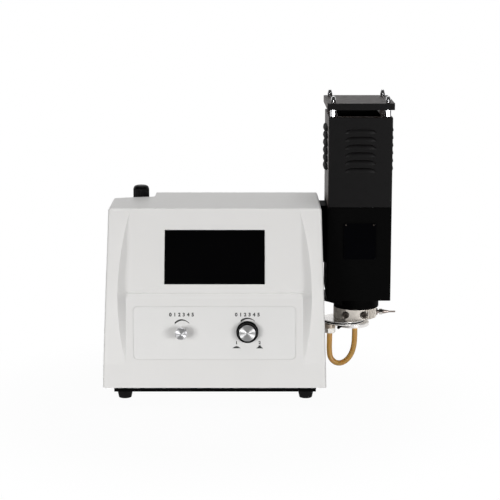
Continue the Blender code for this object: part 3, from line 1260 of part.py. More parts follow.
# Chimney
def chimney_box(name, low_z, high_z, grow, surface=None, cutter=False):
    low = (CHIMNEY_LEFT_X - grow, CHIMNEY_FRONT_Y - grow, low_z)
    high = (CHIMNEY_RIGHT_X + grow, CHIMNEY_REAR_Y + grow, high_z)
    return block(name, low, high, surface, cutter=cutter)


def make_chimney_housing():
    housing = chimney_box("chimney_housing", CHIMNEY_LOW_Z, CHIMNEY_SEAM_Z - GAP, 0.0, BLACK_PAINT)
    cut(housing, chimney_box("housing_hollow", CHIMNEY_FLOOR_Z, CHIMNEY_SEAM_Z + OVERRUN, -CHIMNEY_SHEET,
                             cutter=True))
    cut(housing, rod("housing_floor_hole", CHIMNEY_FLOOR_HOLE_RADIUS,
                     (FLAME_X, FLAME_Y, CHIMNEY_LOW_Z - OVERRUN), 2 * OVERRUN, cutter=True))
    half = WINDOW_WIDTH * HALF - WINDOW_LAP
    cut(housing, block("window_hole",
                       (FLAME_X - half, CHIMNEY_FRONT_Y - OVERRUN, WINDOW_LOW_Z + WINDOW_LAP),
                       (FLAME_X + half, CHIMNEY_FRONT_Y + OVERRUN, WINDOW_LOW_Z + WINDOW_HEIGHT - WINDOW_LAP),
                       cutter=True))
    cut(housing, rod("housing_beam_hole", COUPLING_BORE_RADIUS, (CHIMNEY_LEFT_X - OVERRUN, FLAME_Y, BEAM_Z),
                     2 * OVERRUN, "x", cutter=True))
    bm = bmesh.new()
    for x, z in window_screw_places():
        add_rod(bm, WINDOW_SCREW_RADIUS, (x, CHIMNEY_FRONT_Y - OVERRUN, z), 2 * OVERRUN, "y", steps=TINY_STEPS)
    cut(housing, mesh_object("window_screw_holes", bm, cutter=True))
    return housing


def window_screw_places():
    z = WINDOW_LOW_Z + WINDOW_HEIGHT - WINDOW_SCREW_INSET_Z
    x = WINDOW_WIDTH * HALF - WINDOW_SCREW_INSET_X
    return [(FLAME_X - x, z), (FLAME_X + x, z)]


def make_window():
    half = WINDOW_WIDTH * HALF
    glass = block("window_glass", (FLAME_X - half, CHIMNEY_FRONT_Y - GAP - WINDOW_THICKNESS, WINDOW_LOW_Z),
                  (FLAME_X + half, CHIMNEY_FRONT_Y - GAP, WINDOW_LOW_Z + WINDOW_HEIGHT), DARK_GLASS)
    bm = bmesh.new()
    for x, z in window_screw_places():
        add_rod(bm, WINDOW_SCREW_RADIUS, (x, CHIMNEY_FRONT_Y - OVERRUN, z), 2 * OVERRUN, "y", steps=TINY_STEPS)
    cut(glass, mesh_object("window_glass_holes", bm, cutter=True))


def louvre_ring(length, proud, low, high, inset):
    """A wedge in wall coordinates: along, out of the wall, up. Its ends taper in"""
    half = length * HALF
    tip = half - LOUVRE_TAPER
    out = inset + LOUVRE_ROOT
    return [(-half, inset, low), (-tip, proud, low), (tip, proud, low), (half, inset, low)], \
        [(-tip, inset, high), (-tip, out, high), (tip, out, high), (tip, inset, high)]


def add_louvre(bm, to_wall, length, z, void):
    """One pressed hood, or the space under it, on the wall whose placement is to_wall"""
    if void:
        low = z - LOUVRE_ROOT
        high = z + LOUVRE_HEIGHT - 2 * LOUVRE_SHEET
        rings = louvre_ring(length - 2 * LOUVRE_SHEET, LOUVRE_PROUD - LOUVRE_SHEET, low, high,
                            -CHIMNEY_SHEET - SEAT)
    else:
        rings = louvre_ring(length, LOUVRE_PROUD, z, z + LOUVRE_HEIGHT, -LOUVRE_ROOT)
    lower, upper = [[bm.verts.new(to_wall @ Vector(point)) for point in ring] for ring in rings]
    for i in range(len(lower)):
        j = (i + 1) % len(lower)
        bm.faces.new((lower[i], lower[j], upper[j], upper[i]))
    bm.faces.new(lower[::-1])
    bm.faces.new(upper)


def louvre_walls():
    """Placement and louvre length of the four walls; local +Y points out of the wall"""
    side_y = CHIMNEY_FRONT_Y + SIDE_LOUVRE_START + SIDE_LOUVRE_LENGTH * HALF
    return [
        (Matrix.Translation((FLAME_X, CHIMNEY_FRONT_Y, 0.0)) @ Matrix.Rotation(2 * QUARTER_TURN, 4, "Z"),
         FRONT_LOUVRE_LENGTH),
        (Matrix.Translation((FLAME_X, CHIMNEY_REAR_Y, 0.0)), FRONT_LOUVRE_LENGTH),
        (Matrix.Translation((CHIMNEY_LEFT_X, side_y, 0.0)) @ Matrix.Rotation(QUARTER_TURN, 4, "Z"),
         SIDE_LOUVRE_LENGTH),
        (Matrix.Translation((CHIMNEY_RIGHT_X, side_y, 0.0)) @ Matrix.Rotation(-QUARTER_TURN, 4, "Z"),
         SIDE_LOUVRE_LENGTH),
    ]


def make_louvred_cover():
    cover = chimney_box("louvred_cover", CHIMNEY_SEAM_Z, CHIMNEY_HIGH_Z, 0.0, BLACK_PAINT)
    cut(cover, chimney_box("cover_inside", CHIMNEY_SEAM_Z - OVERRUN, CHIMNEY_HIGH_Z - CHIMNEY_SHEET,
                           -CHIMNEY_SHEET, cutter=True))
    cut(cover, chimney_box("cover_mouth", CHIMNEY_HIGH_Z - OVERRUN, CHIMNEY_HIGH_Z + OVERRUN,
                           -CHIMNEY_ROOF_FLANGE, cutter=True))
    hoods = bmesh.new()
    voids = bmesh.new()
    for to_wall, length in louvre_walls():
        for i in range(LOUVRE_COUNT):
            z = LOUVRE_LOWEST_Z + i * LOUVRE_PITCH
            add_louvre(hoods, to_wall, length, z, False)
            add_louvre(voids, to_wall, length, z, True)
    join(cover, mesh_object("louvre_hoods", hoods, cutter=True))
    cut(cover, mesh_object("louvre_voids", voids, cutter=True))
    bm = bmesh.new()
    for x, y in spacer_places():
        add_rod(bm, STUD_RADIUS + FIT, (x, y, CHIMNEY_HIGH_Z - OVERRUN), 2 * OVERRUN, steps=TINY_STEPS)
    return cut(cover, mesh_object("cover_stud_holes", bm, cutter=True))


def spacer_places():
    x = CHIMNEY_HALF_WIDTH - SPACER_INSET_X
    return [(FLAME_X + side * x, y) for side in (-1, 1)
            for y in (CHIMNEY_FRONT_Y + SPACER_INSET_Y, CHIMNEY_REAR_Y - SPACER_INSET_Y)]


def make_lid():
    low = (CHIMNEY_LEFT_X - LID_OVERHANG, CHIMNEY_FRONT_Y - LID_FRONT_OVERHANG, LID_TOP_Z - LID_RIM)
    high = (CHIMNEY_RIGHT_X + LID_OVERHANG, CHIMNEY_REAR_Y + LID_FRONT_OVERHANG, LID_TOP_Z)
    lid = block("chimney_lid", low, high, BLACK_PAINT)
    inner_low = (low[0] + LID_SHEET, low[1] + LID_SHEET, low[2] - OVERRUN)
    inner_high = (high[0] - LID_SHEET, high[1] - LID_SHEET, LID_UNDER_Z)
    cut(lid, block("lid_hollow", inner_low, inner_high, cutter=True))
    bm = bmesh.new()
    for x, y in spacer_places():
        add_rod(bm, STUD_RADIUS + FIT, (x, y, LID_UNDER_Z - OVERRUN), LID_SHEET + 2 * OVERRUN,
                steps=TINY_STEPS)
    return cut(lid, mesh_object("lid_holes", bm, cutter=True))


def make_lid_fasteners():
    """Four spacers, and four domed bolts through the lid, the spacers and the cover's top flange"""
    low = CHIMNEY_HIGH_Z + GAP
    high = LID_UNDER_Z - GAP
    hole = STUD_RADIUS + FIT
    seat = LID_TOP_Z + GAP
    hex_top = seat + CAP_NUT_HEX_HEIGHT
    dome = CAP_NUT_HEIGHT - CAP_NUT_HEX_HEIGHT
    bolt = [(0.0, seat + CAP_NUT_HEIGHT)]
    for i in range(1, CORNER_STEPS + 1):
        angle = QUARTER_TURN * i / CORNER_STEPS
        bolt.append((CAP_NUT_RADIUS * math.sin(angle), hex_top + dome * math.cos(angle)))
    foot = CHIMNEY_HIGH_Z - STUD_UNDER
    bolt += [(CAP_NUT_RADIUS, seat), (STUD_RADIUS, seat), (STUD_RADIUS, foot), (0.0, foot)]
    spacer = [(hole, high), (SPACER_RADIUS, high), (SPACER_RADIUS, low), (hole, low)]
    for number, (x, y) in enumerate(spacer_places(), 1):
        turned(f"lid_spacer_{number}", spacer, (x, y, 0.0), CHROME, steps=SMALL_STEPS, closed=True)
        turned(f"lid_bolt_{number}", bolt, (x, y, 0.0), CHROME, steps=TINY_STEPS)


# Flame parts
def make_flame_parts():
    place = (FLAME_X, FLAME_Y, 0.0)
    low = CHIMNEY_FLOOR_Z + GAP
    inner = FLAME_GLASS_RADIUS - FLAME_GLASS_WALL
    turned("flame_glass", [(inner, FLAME_GLASS_TOP_Z), (FLAME_GLASS_RADIUS, FLAME_GLASS_TOP_Z),
                           (FLAME_GLASS_RADIUS, low), (inner, low)], place, CLEAR_GLASS, closed=True)
    seat = CHAMBER_LOW_Z + CHAMBER_FLOOR + GAP
    recess = BURNER_TOP_Z - BURNER_RECESS
    under = recess - BURNER_RECESS
    rim = BURNER_BORE_RADIUS
    profile = [(BURNER_JET_RADIUS, recess), (rim, recess), (rim, BURNER_TOP_Z), (BURNER_RADIUS, BURNER_TOP_Z),
               (BURNER_RADIUS, seat), (rim, seat), (rim, under), (BURNER_JET_RADIUS, under)]
    turned("burner_head", profile, place, STEEL, closed=True)
    x = FLAME_X + IGNITER_OFFSET
    route = [Vector((x, FLAME_Y, low)), Vector((x, FLAME_Y, IGNITER_KNEE_Z)),
             Vector((x - IGNITER_REACH, FLAME_Y, IGNITER_TIP_Z))]
    tube("igniter_electrode", route, IGNITER_RADIUS, STEEL)


def make_chamber():
    top = CHIMNEY_LOW_Z - GAP
    hole = BURNER_RADIUS + FIT
    collar = [(hole, top), (COLLAR_RADIUS, top), (COLLAR_RADIUS, COLLAR_LOW_Z), (hole, COLLAR_LOW_Z)]
    turned("burner_collar", collar, (FLAME_X, FLAME_Y, 0.0), BLACK_PAINT, steps=WIDE_STEPS, closed=True)
    chamber = rod("mixing_chamber", CHAMBER_RADIUS, (CHAMBER_X, FLAME_Y, CHAMBER_LOW_Z),
                  COLLAR_LOW_Z - GAP - CHAMBER_LOW_Z, surface=ALUMINIUM, steps=WIDE_STEPS)
    floor = CHAMBER_LOW_Z + CHAMBER_FLOOR
    cut(chamber, rod("chamber_bore", CHAMBER_BORE_RADIUS, (FLAME_X, FLAME_Y, floor),
                     COLLAR_LOW_Z - floor + OVERRUN, cutter=True))
    seats = bmesh.new()
    holes = bmesh.new()
    open_y = FLAME_Y - CHAMBER_RADIUS - OVERRUN
    for side in (-1, 1):
        x = CLAMP_SCREW_X + side * CLAMP_SCREW_SPREAD
        add_rod(seats, CLAMP_SCREW_HEAD_RADIUS + FIT, (x, open_y, CLAMP_SCREW_Z), CLAMP_FLAT_Y - open_y, "y",
                steps=SMALL_STEPS)
        add_rod(holes, CLAMP_SCREW_RADIUS + FIT, (x, CLAMP_FLAT_Y - OVERRUN, CLAMP_SCREW_Z),
                OVERRUN + CLAMP_SCREW_IN + FIT, "y", steps=TINY_STEPS)
    cut(chamber, mesh_object("clamp_screw_seats", seats, cutter=True))
    cut(chamber, mesh_object("clamp_screw_holes", holes, cutter=True))
    cut(chamber, rod("nebuliser_hole", NEBULISER_NECK_RADIUS + FIT,
                     (NEBULISER_X - NEBULISER_IN - FIT, FLAME_Y, NEBULISER_Z), NEBULISER_IN + OVERRUN, "x",
                     cutter=True, steps=SMALL_STEPS))
    head = CLAMP_SCREW_HEAD_RADIUS
    screw = [(0.0, CLAMP_SCREW_IN), (CLAMP_SCREW_RADIUS, CLAMP_SCREW_IN), (CLAMP_SCREW_RADIUS, 0.0),
             (head, 0.0), (head, -CLAMP_SCREW_HEAD_LENGTH), (0.0, -CLAMP_SCREW_HEAD_LENGTH)]
    for label, side in (("left", -1), ("right", 1)):
        place = (CLAMP_SCREW_X + side * CLAMP_SCREW_SPREAD, CLAMP_FLAT_Y - GAP, CLAMP_SCREW_Z)
        turned("clamp_screw_" + label, screw, place, STEEL, "y", steps=SMALL_STEPS)
    flange = rod("chamber_flange", FLANGE_RADIUS, (FLANGE_X, FLANGE_Y, FLANGE_LOW_Z), FLANGE_THICKNESS,
                 surface=ALUMINIUM, steps=WIDE_STEPS)
    join(flange, rod("chamber_cap", CAP_RADIUS, (CAP_X, FLANGE_Y, CAP_LOW_Z), CAP_HEIGHT + SEAT, cutter=True,
                     steps=WIDE_STEPS))


def make_drain():
    bm = bmesh.new()
    nut_top = DRAIN_TOP_Z - DRAIN_BODY_HEIGHT
    add_rod(bm, DRAIN_BODY_RADIUS, (DRAIN_X, DRAIN_Y, nut_top - SEAT * HALF), DRAIN_BODY_HEIGHT + SEAT * HALF)
    fitting = mesh_object("drain_fitting", bm, surface=STEEL)
    join(fitting, rod("drain_fitting_hex", DRAIN_NUT_RADIUS, (DRAIN_X, DRAIN_Y, nut_top - DRAIN_NUT_HEIGHT),
                      DRAIN_NUT_HEIGHT, cutter=True, steps=HEX_SIDES))
    top = nut_top - DRAIN_NUT_HEIGHT - GAP
    start = [Vector((DRAIN_X, DRAIN_Y, top))]
    end = [Vector((HOSE_RIGHT_X, DRAIN_Y, CAP_LOW_Z - GAP))]
    route = start + [Vector((x, DRAIN_Y, z)) for x, z in HOSE_ROUTE] + end
    tube("drain_hose", smooth_route(route, HOSE_POINT_STEP), HOSE_RADIUS, AMBER_RUBBER)


def make_nebuliser():
    start = NEBULISER_X - NEBULISER_IN
    runs = [
        (NEBULISER_NECK_RADIUS, NEBULISER_IN + GAP),
        (NEBULISER_RING_RADIUS, NEBULISER_RING_LENGTH - GAP),
        (NEBULISER_NECK_RADIUS, NEBULISER_NECK_LENGTH + NEBULISER_NUT_LENGTH),
    ]
    profile = [(0.0, 0.0)]
    height = 0.0
    for radius, length in runs:
        profile += [(radius, height), (radius, height + length)]
        height += length
    tip = height + NEBULISER_BARREL_LENGTH
    barrel_start = height + GAP * 2
    profile += [(NEBULISER_NECK_RADIUS, barrel_start), (NEBULISER_BARREL_RADIUS, barrel_start),
                (NEBULISER_BARREL_TIP_RADIUS, tip), (CAPILLARY_RADIUS, tip),
                (CAPILLARY_RADIUS, CAPILLARY_TIP_X - start), (0.0, CAPILLARY_TIP_X - start)]
    turned("nebuliser", profile[::-1], (start, FLAME_Y, NEBULISER_Z), STEEL, "x", steps=SMALL_STEPS)
    nut_x = NEBULISER_X + NEBULISER_RING_LENGTH + NEBULISER_NECK_LENGTH
    nut = rod("nebuliser_nut", NEBULISER_NUT_RADIUS, (nut_x, FLAME_Y, NEBULISER_Z), NEBULISER_NUT_LENGTH, "x",
              CHROME, steps=HEX_SIDES)
    cut(nut, rod("nebuliser_nut_bore", NEBULISER_NECK_RADIUS + FIT * HALF,
                 (nut_x - OVERRUN, FLAME_Y, NEBULISER_Z), NEBULISER_NUT_LENGTH + 2 * OVERRUN, "x",
                 cutter=True, steps=SMALL_STEPS))


def make_bracket():
    """An angle that carries the chimney's left edge: one leg on the console's side, one under the chimney"""
    top = CHIMNEY_LOW_Z - GAP
    low = top - BRACKET_DROP
    inner_top = half_width(top) + GAP
    inner_low = half_width(low) + GAP
    out = CHIMNEY_LEFT_X + BRACKET_REACH
    under = top - BRACKET_THICKNESS
    thick = BRACKET_THICKNESS
    points = [(inner_low, low), (inner_low + thick, low), (half_width(under) + GAP + thick, under),
              (out, under), (out, top), (inner_top, top)]
    rear = BRACKET_FRONT_Y + BRACKET_DEPTH
    loft("chimney_bracket", [[(x, y, z) for x, z in points] for y in (BRACKET_FRONT_Y, rear)], BLACK_PAINT)


# Rear panel and its fittings
def panel_half_width(z):
    return taper_half_width(z) - CASE_WALL - GAP


def make_rear_panel():
    top = cover_top_z(PANEL_REAR_Y, CASE_WALL) - GAP * 2
    corner = CASE_CORNER
    points = [(panel_half_width(z), z) for z in (CASE_RIM_Z, top - corner)]
    points += [(panel_half_width(top) - corner, top)]
    right = [(PAN_HALF_WIDTH, PANEL_LOW_Z), (PAN_HALF_WIDTH, CASE_RIM_Z), *points]
    shape = right + [(-x, z) for x, z in right[::-1]]
    panel = loft("rear_panel", [[(x, y, z) for x, z in shape] for y in (PANEL_FRONT_Y, PANEL_REAR_Y)],
                 BLACK_PAINT)
    bm = bmesh.new()
    start = PANEL_FRONT_Y - OVERRUN
    end = PANEL_REAR_Y + OVERRUN
    for x, width, height in ((INLET_X, INLET_BODY_WIDTH, INLET_BODY_HEIGHT),
                             (SWITCH_X, SWITCH_WIDTH, SWITCH_HEIGHT)):
        half_w = width * HALF + GAP
        half_h = height * HALF + GAP
        add_block(bm, (x - half_w, start, INLET_Z - half_h), (x + half_w, end, INLET_Z + half_h))
    for x in (BARB_AIR_X, BARB_GAS_X):
        add_rod(bm, BARB_TAIL_RADIUS + FIT, (x, start, BARB_Z), end - start, "y", steps=SMALL_STEPS)
    cut(panel, mesh_object("panel_holes", bm, cutter=True))
    notches = bmesh.new()
    half = POST_SIZE * HALF + GAP
    for side in (-1, 1):
        x = side * SIDE_POST_X
        add_block(notches, (x - half, start, PANEL_LOW_Z - OVERRUN),
                  (x + half, SIDE_POST_REAR_Y + half, POST_TOP_Z))
    return cut(panel, mesh_object("panel_notches", notches, cutter=True))


def make_mains_inlet():
    outer = PANEL_REAR_Y + GAP
    half_w = INLET_BODY_WIDTH * HALF
    half_h = INLET_BODY_HEIGHT * HALF
    inlet = block("mains_inlet", (INLET_X - half_w, outer - INLET_DEPTH, INLET_Z - half_h),
                  (INLET_X + half_w, outer + SEAT, INLET_Z + half_h), BLACK_PLASTIC)
    flange_w = INLET_FLANGE_WIDTH * HALF
    flange_h = INLET_FLANGE_HEIGHT * HALF
    join(inlet, block("inlet_flange", (INLET_X - flange_w, outer, INLET_Z - flange_h),
                      (INLET_X + flange_w, outer + INLET_FLANGE_THICKNESS, INLET_Z + flange_h), cutter=True))
    recess_w = INLET_RECESS_WIDTH * HALF
    recess_h = INLET_RECESS_HEIGHT * HALF
    face = outer + INLET_FLANGE_THICKNESS
    cut(inlet, block("inlet_recess", (INLET_X - recess_w, face - INLET_RECESS_DEPTH, INLET_Z - recess_h),
                     (INLET_X + recess_w, face + OVERRUN, INLET_Z + recess_h), cutter=True))
    bm = bmesh.new()
    pin_w = INLET_PIN_THICKNESS * HALF
    pin_h = INLET_PIN_HEIGHT * HALF
    for x, z in INLET_PIN_SHARES:
        centre_x = INLET_X + x * INLET_RECESS_WIDTH
        centre_z = INLET_Z + z * INLET_RECESS_WIDTH
        add_block(bm, (centre_x - pin_w, face - INLET_RECESS_DEPTH - SEAT, centre_z - pin_h),
                  (centre_x + pin_w, face - INLET_FLANGE_THICKNESS, centre_z + pin_h))
    join(inlet, mesh_object("inlet_pins", bm, cutter=True))


def make_power_switch():
    outer = PANEL_REAR_Y + GAP
    half_w = SWITCH_WIDTH * HALF
    half_h = SWITCH_HEIGHT * HALF
    frame = block("switch_frame", (SWITCH_X - half_w, outer - SWITCH_DEPTH, INLET_Z - half_h),
                  (SWITCH_X + half_w, outer + SEAT, INLET_Z + half_h), BLACK_PLASTIC)
    lip_w = half_w + SWITCH_FRAME_LIP
    lip_h = half_h + SWITCH_FRAME_LIP
    join(frame, block("switch_lip", (SWITCH_X - lip_w, outer, INLET_Z - lip_h),
                      (SWITCH_X + lip_w, outer + SWITCH_FRAME_PROUD, INLET_Z + lip_h), cutter=True))
    in_w = half_w - SWITCH_WALL
    in_h = half_h - SWITCH_WALL
    pivot_y = outer + SWITCH_FRAME_PROUD - ROCKER_PIVOT_IN
    floor_y = pivot_y - ROCKER_ARC_RADIUS - ROCKER_CLEARANCE
    cut(frame, block("switch_well", (SWITCH_X - in_w, floor_y, INLET_Z - in_h),
                     (SWITCH_X + in_w, outer + OVERRUN, INLET_Z + in_h), cutter=True))
    pin = ROCKER_PIN_RADIUS
    cut(frame, rod("switch_pin_holes", pin + FIT * HALF,
                   (SWITCH_X - half_w + ROCKER_PIN_COVER, pivot_y, INLET_Z),
                   SWITCH_WIDTH - 2 * ROCKER_PIN_COVER, "x", cutter=True, steps=TINY_STEPS))
    half = in_w - ROCKER_CLEARANCE
    pivot = empty("rocker_axis", (SWITCH_X, pivot_y, INLET_Z), FRAME, (ROCKER_TILT, 0.0, 0.0))
    reach = in_h - ROCKER_CLEARANCE
    radius = ROCKER_ARC_RADIUS
    end_y = ROCKER_PIVOT_IN - reach * math.sin(ROCKER_TILT)
    # The rocker's side outline about its axis: a shallow vee outside, an arc inside
    end_z = reach * math.cos(ROCKER_TILT)
    points = [(end_y + ROCKER_EDGE, end_z), (ROCKER_PIVOT_IN - ROCKER_VEE, 0.0),
              (end_y + ROCKER_EDGE, -end_z), (0.0, -end_z)]
    for i in range(SMALL_STEPS + 1):
        angle = (2 * i / SMALL_STEPS - 1) * QUARTER_TURN * ROCKER_ARC_SHARE
        points.append((-radius * math.cos(angle), radius * math.sin(angle)))
    points.append((0.0, end_z))
    rocker = loft("power_rocker", [[(x, y, z) for y, z in points] for x in (-half, half)], BLACK_PLASTIC,
                  pivot)
    join(rocker, rod("rocker_pin", pin, (-half - ROCKER_CLEARANCE - SWITCH_WALL * HALF, 0.0, 0.0),
                     2 * half + 2 * ROCKER_CLEARANCE + SWITCH_WALL, "x", parent=pivot, cutter=True,
                     steps=TINY_STEPS))


def make_barb(name, x):
    """A hose barb with a hexagon on the panel and a threaded tail through it"""
    outer = PANEL_REAR_Y + GAP
    profile = [(BARB_BORE_RADIUS, BARB_OUT)]
    for i in range(BARB_RIDGES):
        tip = BARB_OUT - i * BARB_RIDGE_LENGTH
        profile += [(BARB_RADIUS - BARB_RIDGE, tip), (BARB_RADIUS, tip - BARB_RIDGE_LENGTH * BARB_SLOPE_SHARE)]
    profile += [(BARB_RADIUS - BARB_RIDGE, BARB_HEX_LENGTH),
                (BARB_RADIUS - BARB_RIDGE, BARB_HEX_LENGTH - SEAT), (BARB_TAIL_RADIUS, BARB_HEX_LENGTH - SEAT),
                (BARB_TAIL_RADIUS, -BARB_TAIL_IN), (BARB_BORE_RADIUS, -BARB_TAIL_IN)]
    barb = turned(name, profile, (x, outer, BARB_Z), BRASS, "y", steps=SMALL_STEPS, closed=True)
    bm = bmesh.new()
    add_rod(bm, BARB_HEX_RADIUS, (x, outer, BARB_Z), BARB_HEX_LENGTH, "y", steps=HEX_SIDES)
    hexagon = mesh_object(name + "_hexagon", bm, cutter=True)
    cut(hexagon, rod(name + "_hexagon_bore", BARB_BORE_RADIUS + FIT, (x, outer - OVERRUN, BARB_Z),
                     BARB_HEX_LENGTH + 2 * OVERRUN, "y", cutter=True, steps=TINY_STEPS))
    return join(barb, hexagon)


def straight_run(start, direction):
    """Three even points that leave a port squarely"""
    return [Vector(start) + Vector(direction) * TUBE_POINT_STEP * i for i in range(3)]


def make_tubes(port_z):
    """Two tubes inside: air from the regulator to the fine valve, gas from its rear barb to the gas valve"""
    face = CONTROL_FRAME.matrix_basis
    fine_back = face @ Vector((-VALVE_X, CASE_WALL + GAP + FINE_BODY_LENGTH + FINE_PORT_LENGTH + GAP, 0.0))
    port_x = REGULATOR_X + REGULATOR_BODY_RADIUS + REGULATOR_PORT_LENGTH + GAP
    ahead = 2 * TUBE_POINT_STEP
    port = Vector((port_x, REGULATOR_Y, port_z))
    middle = [port + Vector((3 * ahead, -2 * ahead, -ahead)), fine_back + Vector((0.0, 4 * ahead, ahead))]
    route = straight_run(port, (1.0, 0.0, 0.0)) + middle + straight_run(fine_back, (0.0, 1.0, 0.0))[::-1]
    tube("air_tube", smooth_route(route, TUBE_POINT_STEP), TUBE_RADIUS, CLEAR_GLASS)
    gas_depth = CASE_WALL + GAP + GAS_BODY_LENGTH + FINE_PORT_LENGTH - SEAT + GAP
    gas_back = face @ Vector((VALVE_X, gas_depth, 0.0))
    barb = Vector((BARB_GAS_X, PANEL_REAR_Y + GAP - BARB_TAIL_IN - GAP, BARB_Z))
    route = straight_run(gas_back, (0.0, 1.0, 0.0)) + [gas_back.lerp(barb, HALF)]
    route += straight_run(barb, (0.0, -1.0, 0.0))[::-1]
    tube("gas_tube", smooth_route(route, TUBE_POINT_STEP), TUBE_RADIUS, AMBER_RUBBER)


def build():
    front = make_front_moulding()
    join(front, make_screen())
    make_control_plate()
    make_top_cover()
    make_base_pan()
    for label, x, y in foot_places():
        make_foot(label, x, y)
    make_main_board()
    make_power_supply()
    make_fine_valve()
    make_gas_valve()
    make_fine_valve_nut()
    make_tubes(make_regulator())
    make_optics()
    make_chimney_housing()
    make_window()
    make_louvred_cover()
    make_lid()
    make_lid_fasteners()
    make_flame_parts()
    make_chamber()
    make_drain()
    make_nebuliser()
    make_bracket()
    make_rear_panel()
    make_mains_inlet()
    make_power_switch()
    make_barb("air_inlet", BARB_AIR_X)
    make_barb("gas_inlet", BARB_GAS_X)


build()
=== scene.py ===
import json
from math import atan, atan2, copysign, cos, hypot, pi, radians, sin, sqrt, tan

import bmesh
import bpy
from mathutils import Matrix, Vector

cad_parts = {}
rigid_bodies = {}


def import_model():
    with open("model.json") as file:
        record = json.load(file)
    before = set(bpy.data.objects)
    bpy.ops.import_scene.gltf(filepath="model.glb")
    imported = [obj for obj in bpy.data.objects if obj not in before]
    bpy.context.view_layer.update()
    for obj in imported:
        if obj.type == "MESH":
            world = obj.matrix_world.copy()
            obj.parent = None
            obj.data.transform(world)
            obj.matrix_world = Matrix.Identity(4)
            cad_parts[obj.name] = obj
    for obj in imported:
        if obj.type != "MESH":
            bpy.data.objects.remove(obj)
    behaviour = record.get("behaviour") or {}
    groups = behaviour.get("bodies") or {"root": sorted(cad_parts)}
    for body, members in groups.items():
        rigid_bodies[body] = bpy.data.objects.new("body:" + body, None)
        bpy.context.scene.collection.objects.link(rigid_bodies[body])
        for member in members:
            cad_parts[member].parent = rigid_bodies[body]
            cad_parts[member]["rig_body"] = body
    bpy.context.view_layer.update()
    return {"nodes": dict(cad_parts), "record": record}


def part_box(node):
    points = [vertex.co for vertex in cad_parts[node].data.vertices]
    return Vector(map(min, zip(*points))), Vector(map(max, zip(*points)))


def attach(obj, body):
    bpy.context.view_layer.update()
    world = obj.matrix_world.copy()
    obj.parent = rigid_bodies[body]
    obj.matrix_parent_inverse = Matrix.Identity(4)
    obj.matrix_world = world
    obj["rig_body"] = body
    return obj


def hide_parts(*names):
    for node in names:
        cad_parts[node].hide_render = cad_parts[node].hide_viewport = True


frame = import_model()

scene = bpy.context.scene


def shift(x, y, z=0.0):
    return Matrix.Translation((x, y, z))


def turn(angle, axis):
    return Matrix.Rotation(angle, 4, axis)


def add(name, data):
    """A new object in the scene"""
    item = bpy.data.objects.new(name, data)
    scene.collection.objects.link(item)
    return item


# Sizes repeated from the solids, in metres. The construction frame has x = 0 at the console's middle
# and z = 0 on the bench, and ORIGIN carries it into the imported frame.
HALF = 0.5
CLOSE = 0.00001  # points or levels nearer than this are one
QUARTER = pi * HALF
FOOT_HALF_WIDTH, HEAD_HALF_WIDTH = 0.171, 0.164
RIM_Z, TOP_Z, CEILING_Z = 0.0276, 0.2964, 0.2934
WALL = 0.003
CASE_CORNER = 0.0035
SKIRT_Z = 0.0290  # lower edge of the front and the cover
LOWER_FACE_FOOT_Y, CREASE_Y, CREASE_Z = -0.009, -0.002, 0.1745
SCREEN_FOOT_Y = 0.003
LEDGE_DEPTH, LEDGE_ROUND = 0.005, 0.009
TOP_EDGE_Y = 0.0548
SEAM_Y, REAR_Y, PANEL_REAR_Y = 0.068, 0.311, 0.3025
BLEND_LOW_Z, BLEND_HIGH_Z = 0.067, 0.2935
STRIP_KNEE_Y, STRIP_HOLLOW = 0.0125, 0.004
STRIP_EDGE = (0.1355, 0.164, 0.1305)
CENTRE_FOOT_HALF = 0.1345
CRESCENT_SLOPE, CRESCENT_END = 0.90, 0.1285
STRIP_SHOULDER, CENTRE_SHOULDER = 0.004, 0.0016
SCREEN_SIZE, SCREEN_CENTRE = (0.15408, 0.08592), (0.0, 0.0563)
PLATE_SIZE, PLATE_RECESS, PLATE_CENTRE = (0.247, 0.0813), (0.2476, 0.0819), (0.0, -0.0025)
VALVE_X, VALVE_Z, VALVE_HOLE = 0.050, 0.1167, 0.0054
REGULATOR_PLACE, REGULATOR_HOLE = (-0.1215, 0.187), 0.0088
FLAME_X, FLAME_Y = 0.22515, 0.154
BEAM_Z, CASE_BEAM_HOLE, TOWER_BEAM_HOLE = 0.240, 0.0131, 0.0105
FACE_TILT = atan2(CREASE_Y - LOWER_FACE_FOOT_Y, CREASE_Z - RIM_Z)
SCREEN_TILT = atan2(TOP_EDGE_Y - SCREEN_FOOT_Y, TOP_Z - CREASE_Z)
VALVE_FACE_Y = CREASE_Y - (CREASE_Z - VALVE_Z) * tan(FACE_TILT)
front_low, front_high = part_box("front_moulding")
ORIGIN = Vector(((front_low.x + front_high.x) * HALF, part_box("rear_panel")[1].y - PANEL_REAR_Y, 0.0))
TO_PACKED = Matrix.Translation(ORIGIN)
ALONG_X = turn(QUARTER, "Y")
ALONG_Y = turn(-QUARTER, "X")
DOWN = turn(2 * QUARTER, "X")
OUT = turn(QUARTER, "X")  # local +Z looks along -Y
# On both faces local X is to the right, Y up along the face and Z out of it
CONTROL = shift(0.0, VALVE_FACE_Y, VALVE_Z) @ turn(-FACE_TILT, "X") @ OUT
SCREEN = shift(0.0, SCREEN_FOOT_Y, CREASE_Z) @ turn(-SCREEN_TILT, "X") @ OUT
AT_FLAME = shift(FLAME_X, FLAME_Y)

# Camera: the photograph's place and lens
camera = add("camera", bpy.data.cameras.new("camera"))
camera.location = Vector((0.054, -2.456, 0.706)) + ORIGIN
camera.rotation_euler = (radians(90.0 - 10.7), 0.0, 0.0)
camera.data.lens = 119.16
camera.data.sensor_width = 36.0
scene.camera = camera


# Materials
def put(tree, socket, value):
    """Joins a node or another socket to a socket, or gives it a plain value"""
    if isinstance(value, bpy.types.Node):
        value = value.outputs[0]
    if isinstance(value, bpy.types.NodeSocket):
        tree.links.new(value, socket)
    else:
        socket.default_value = value


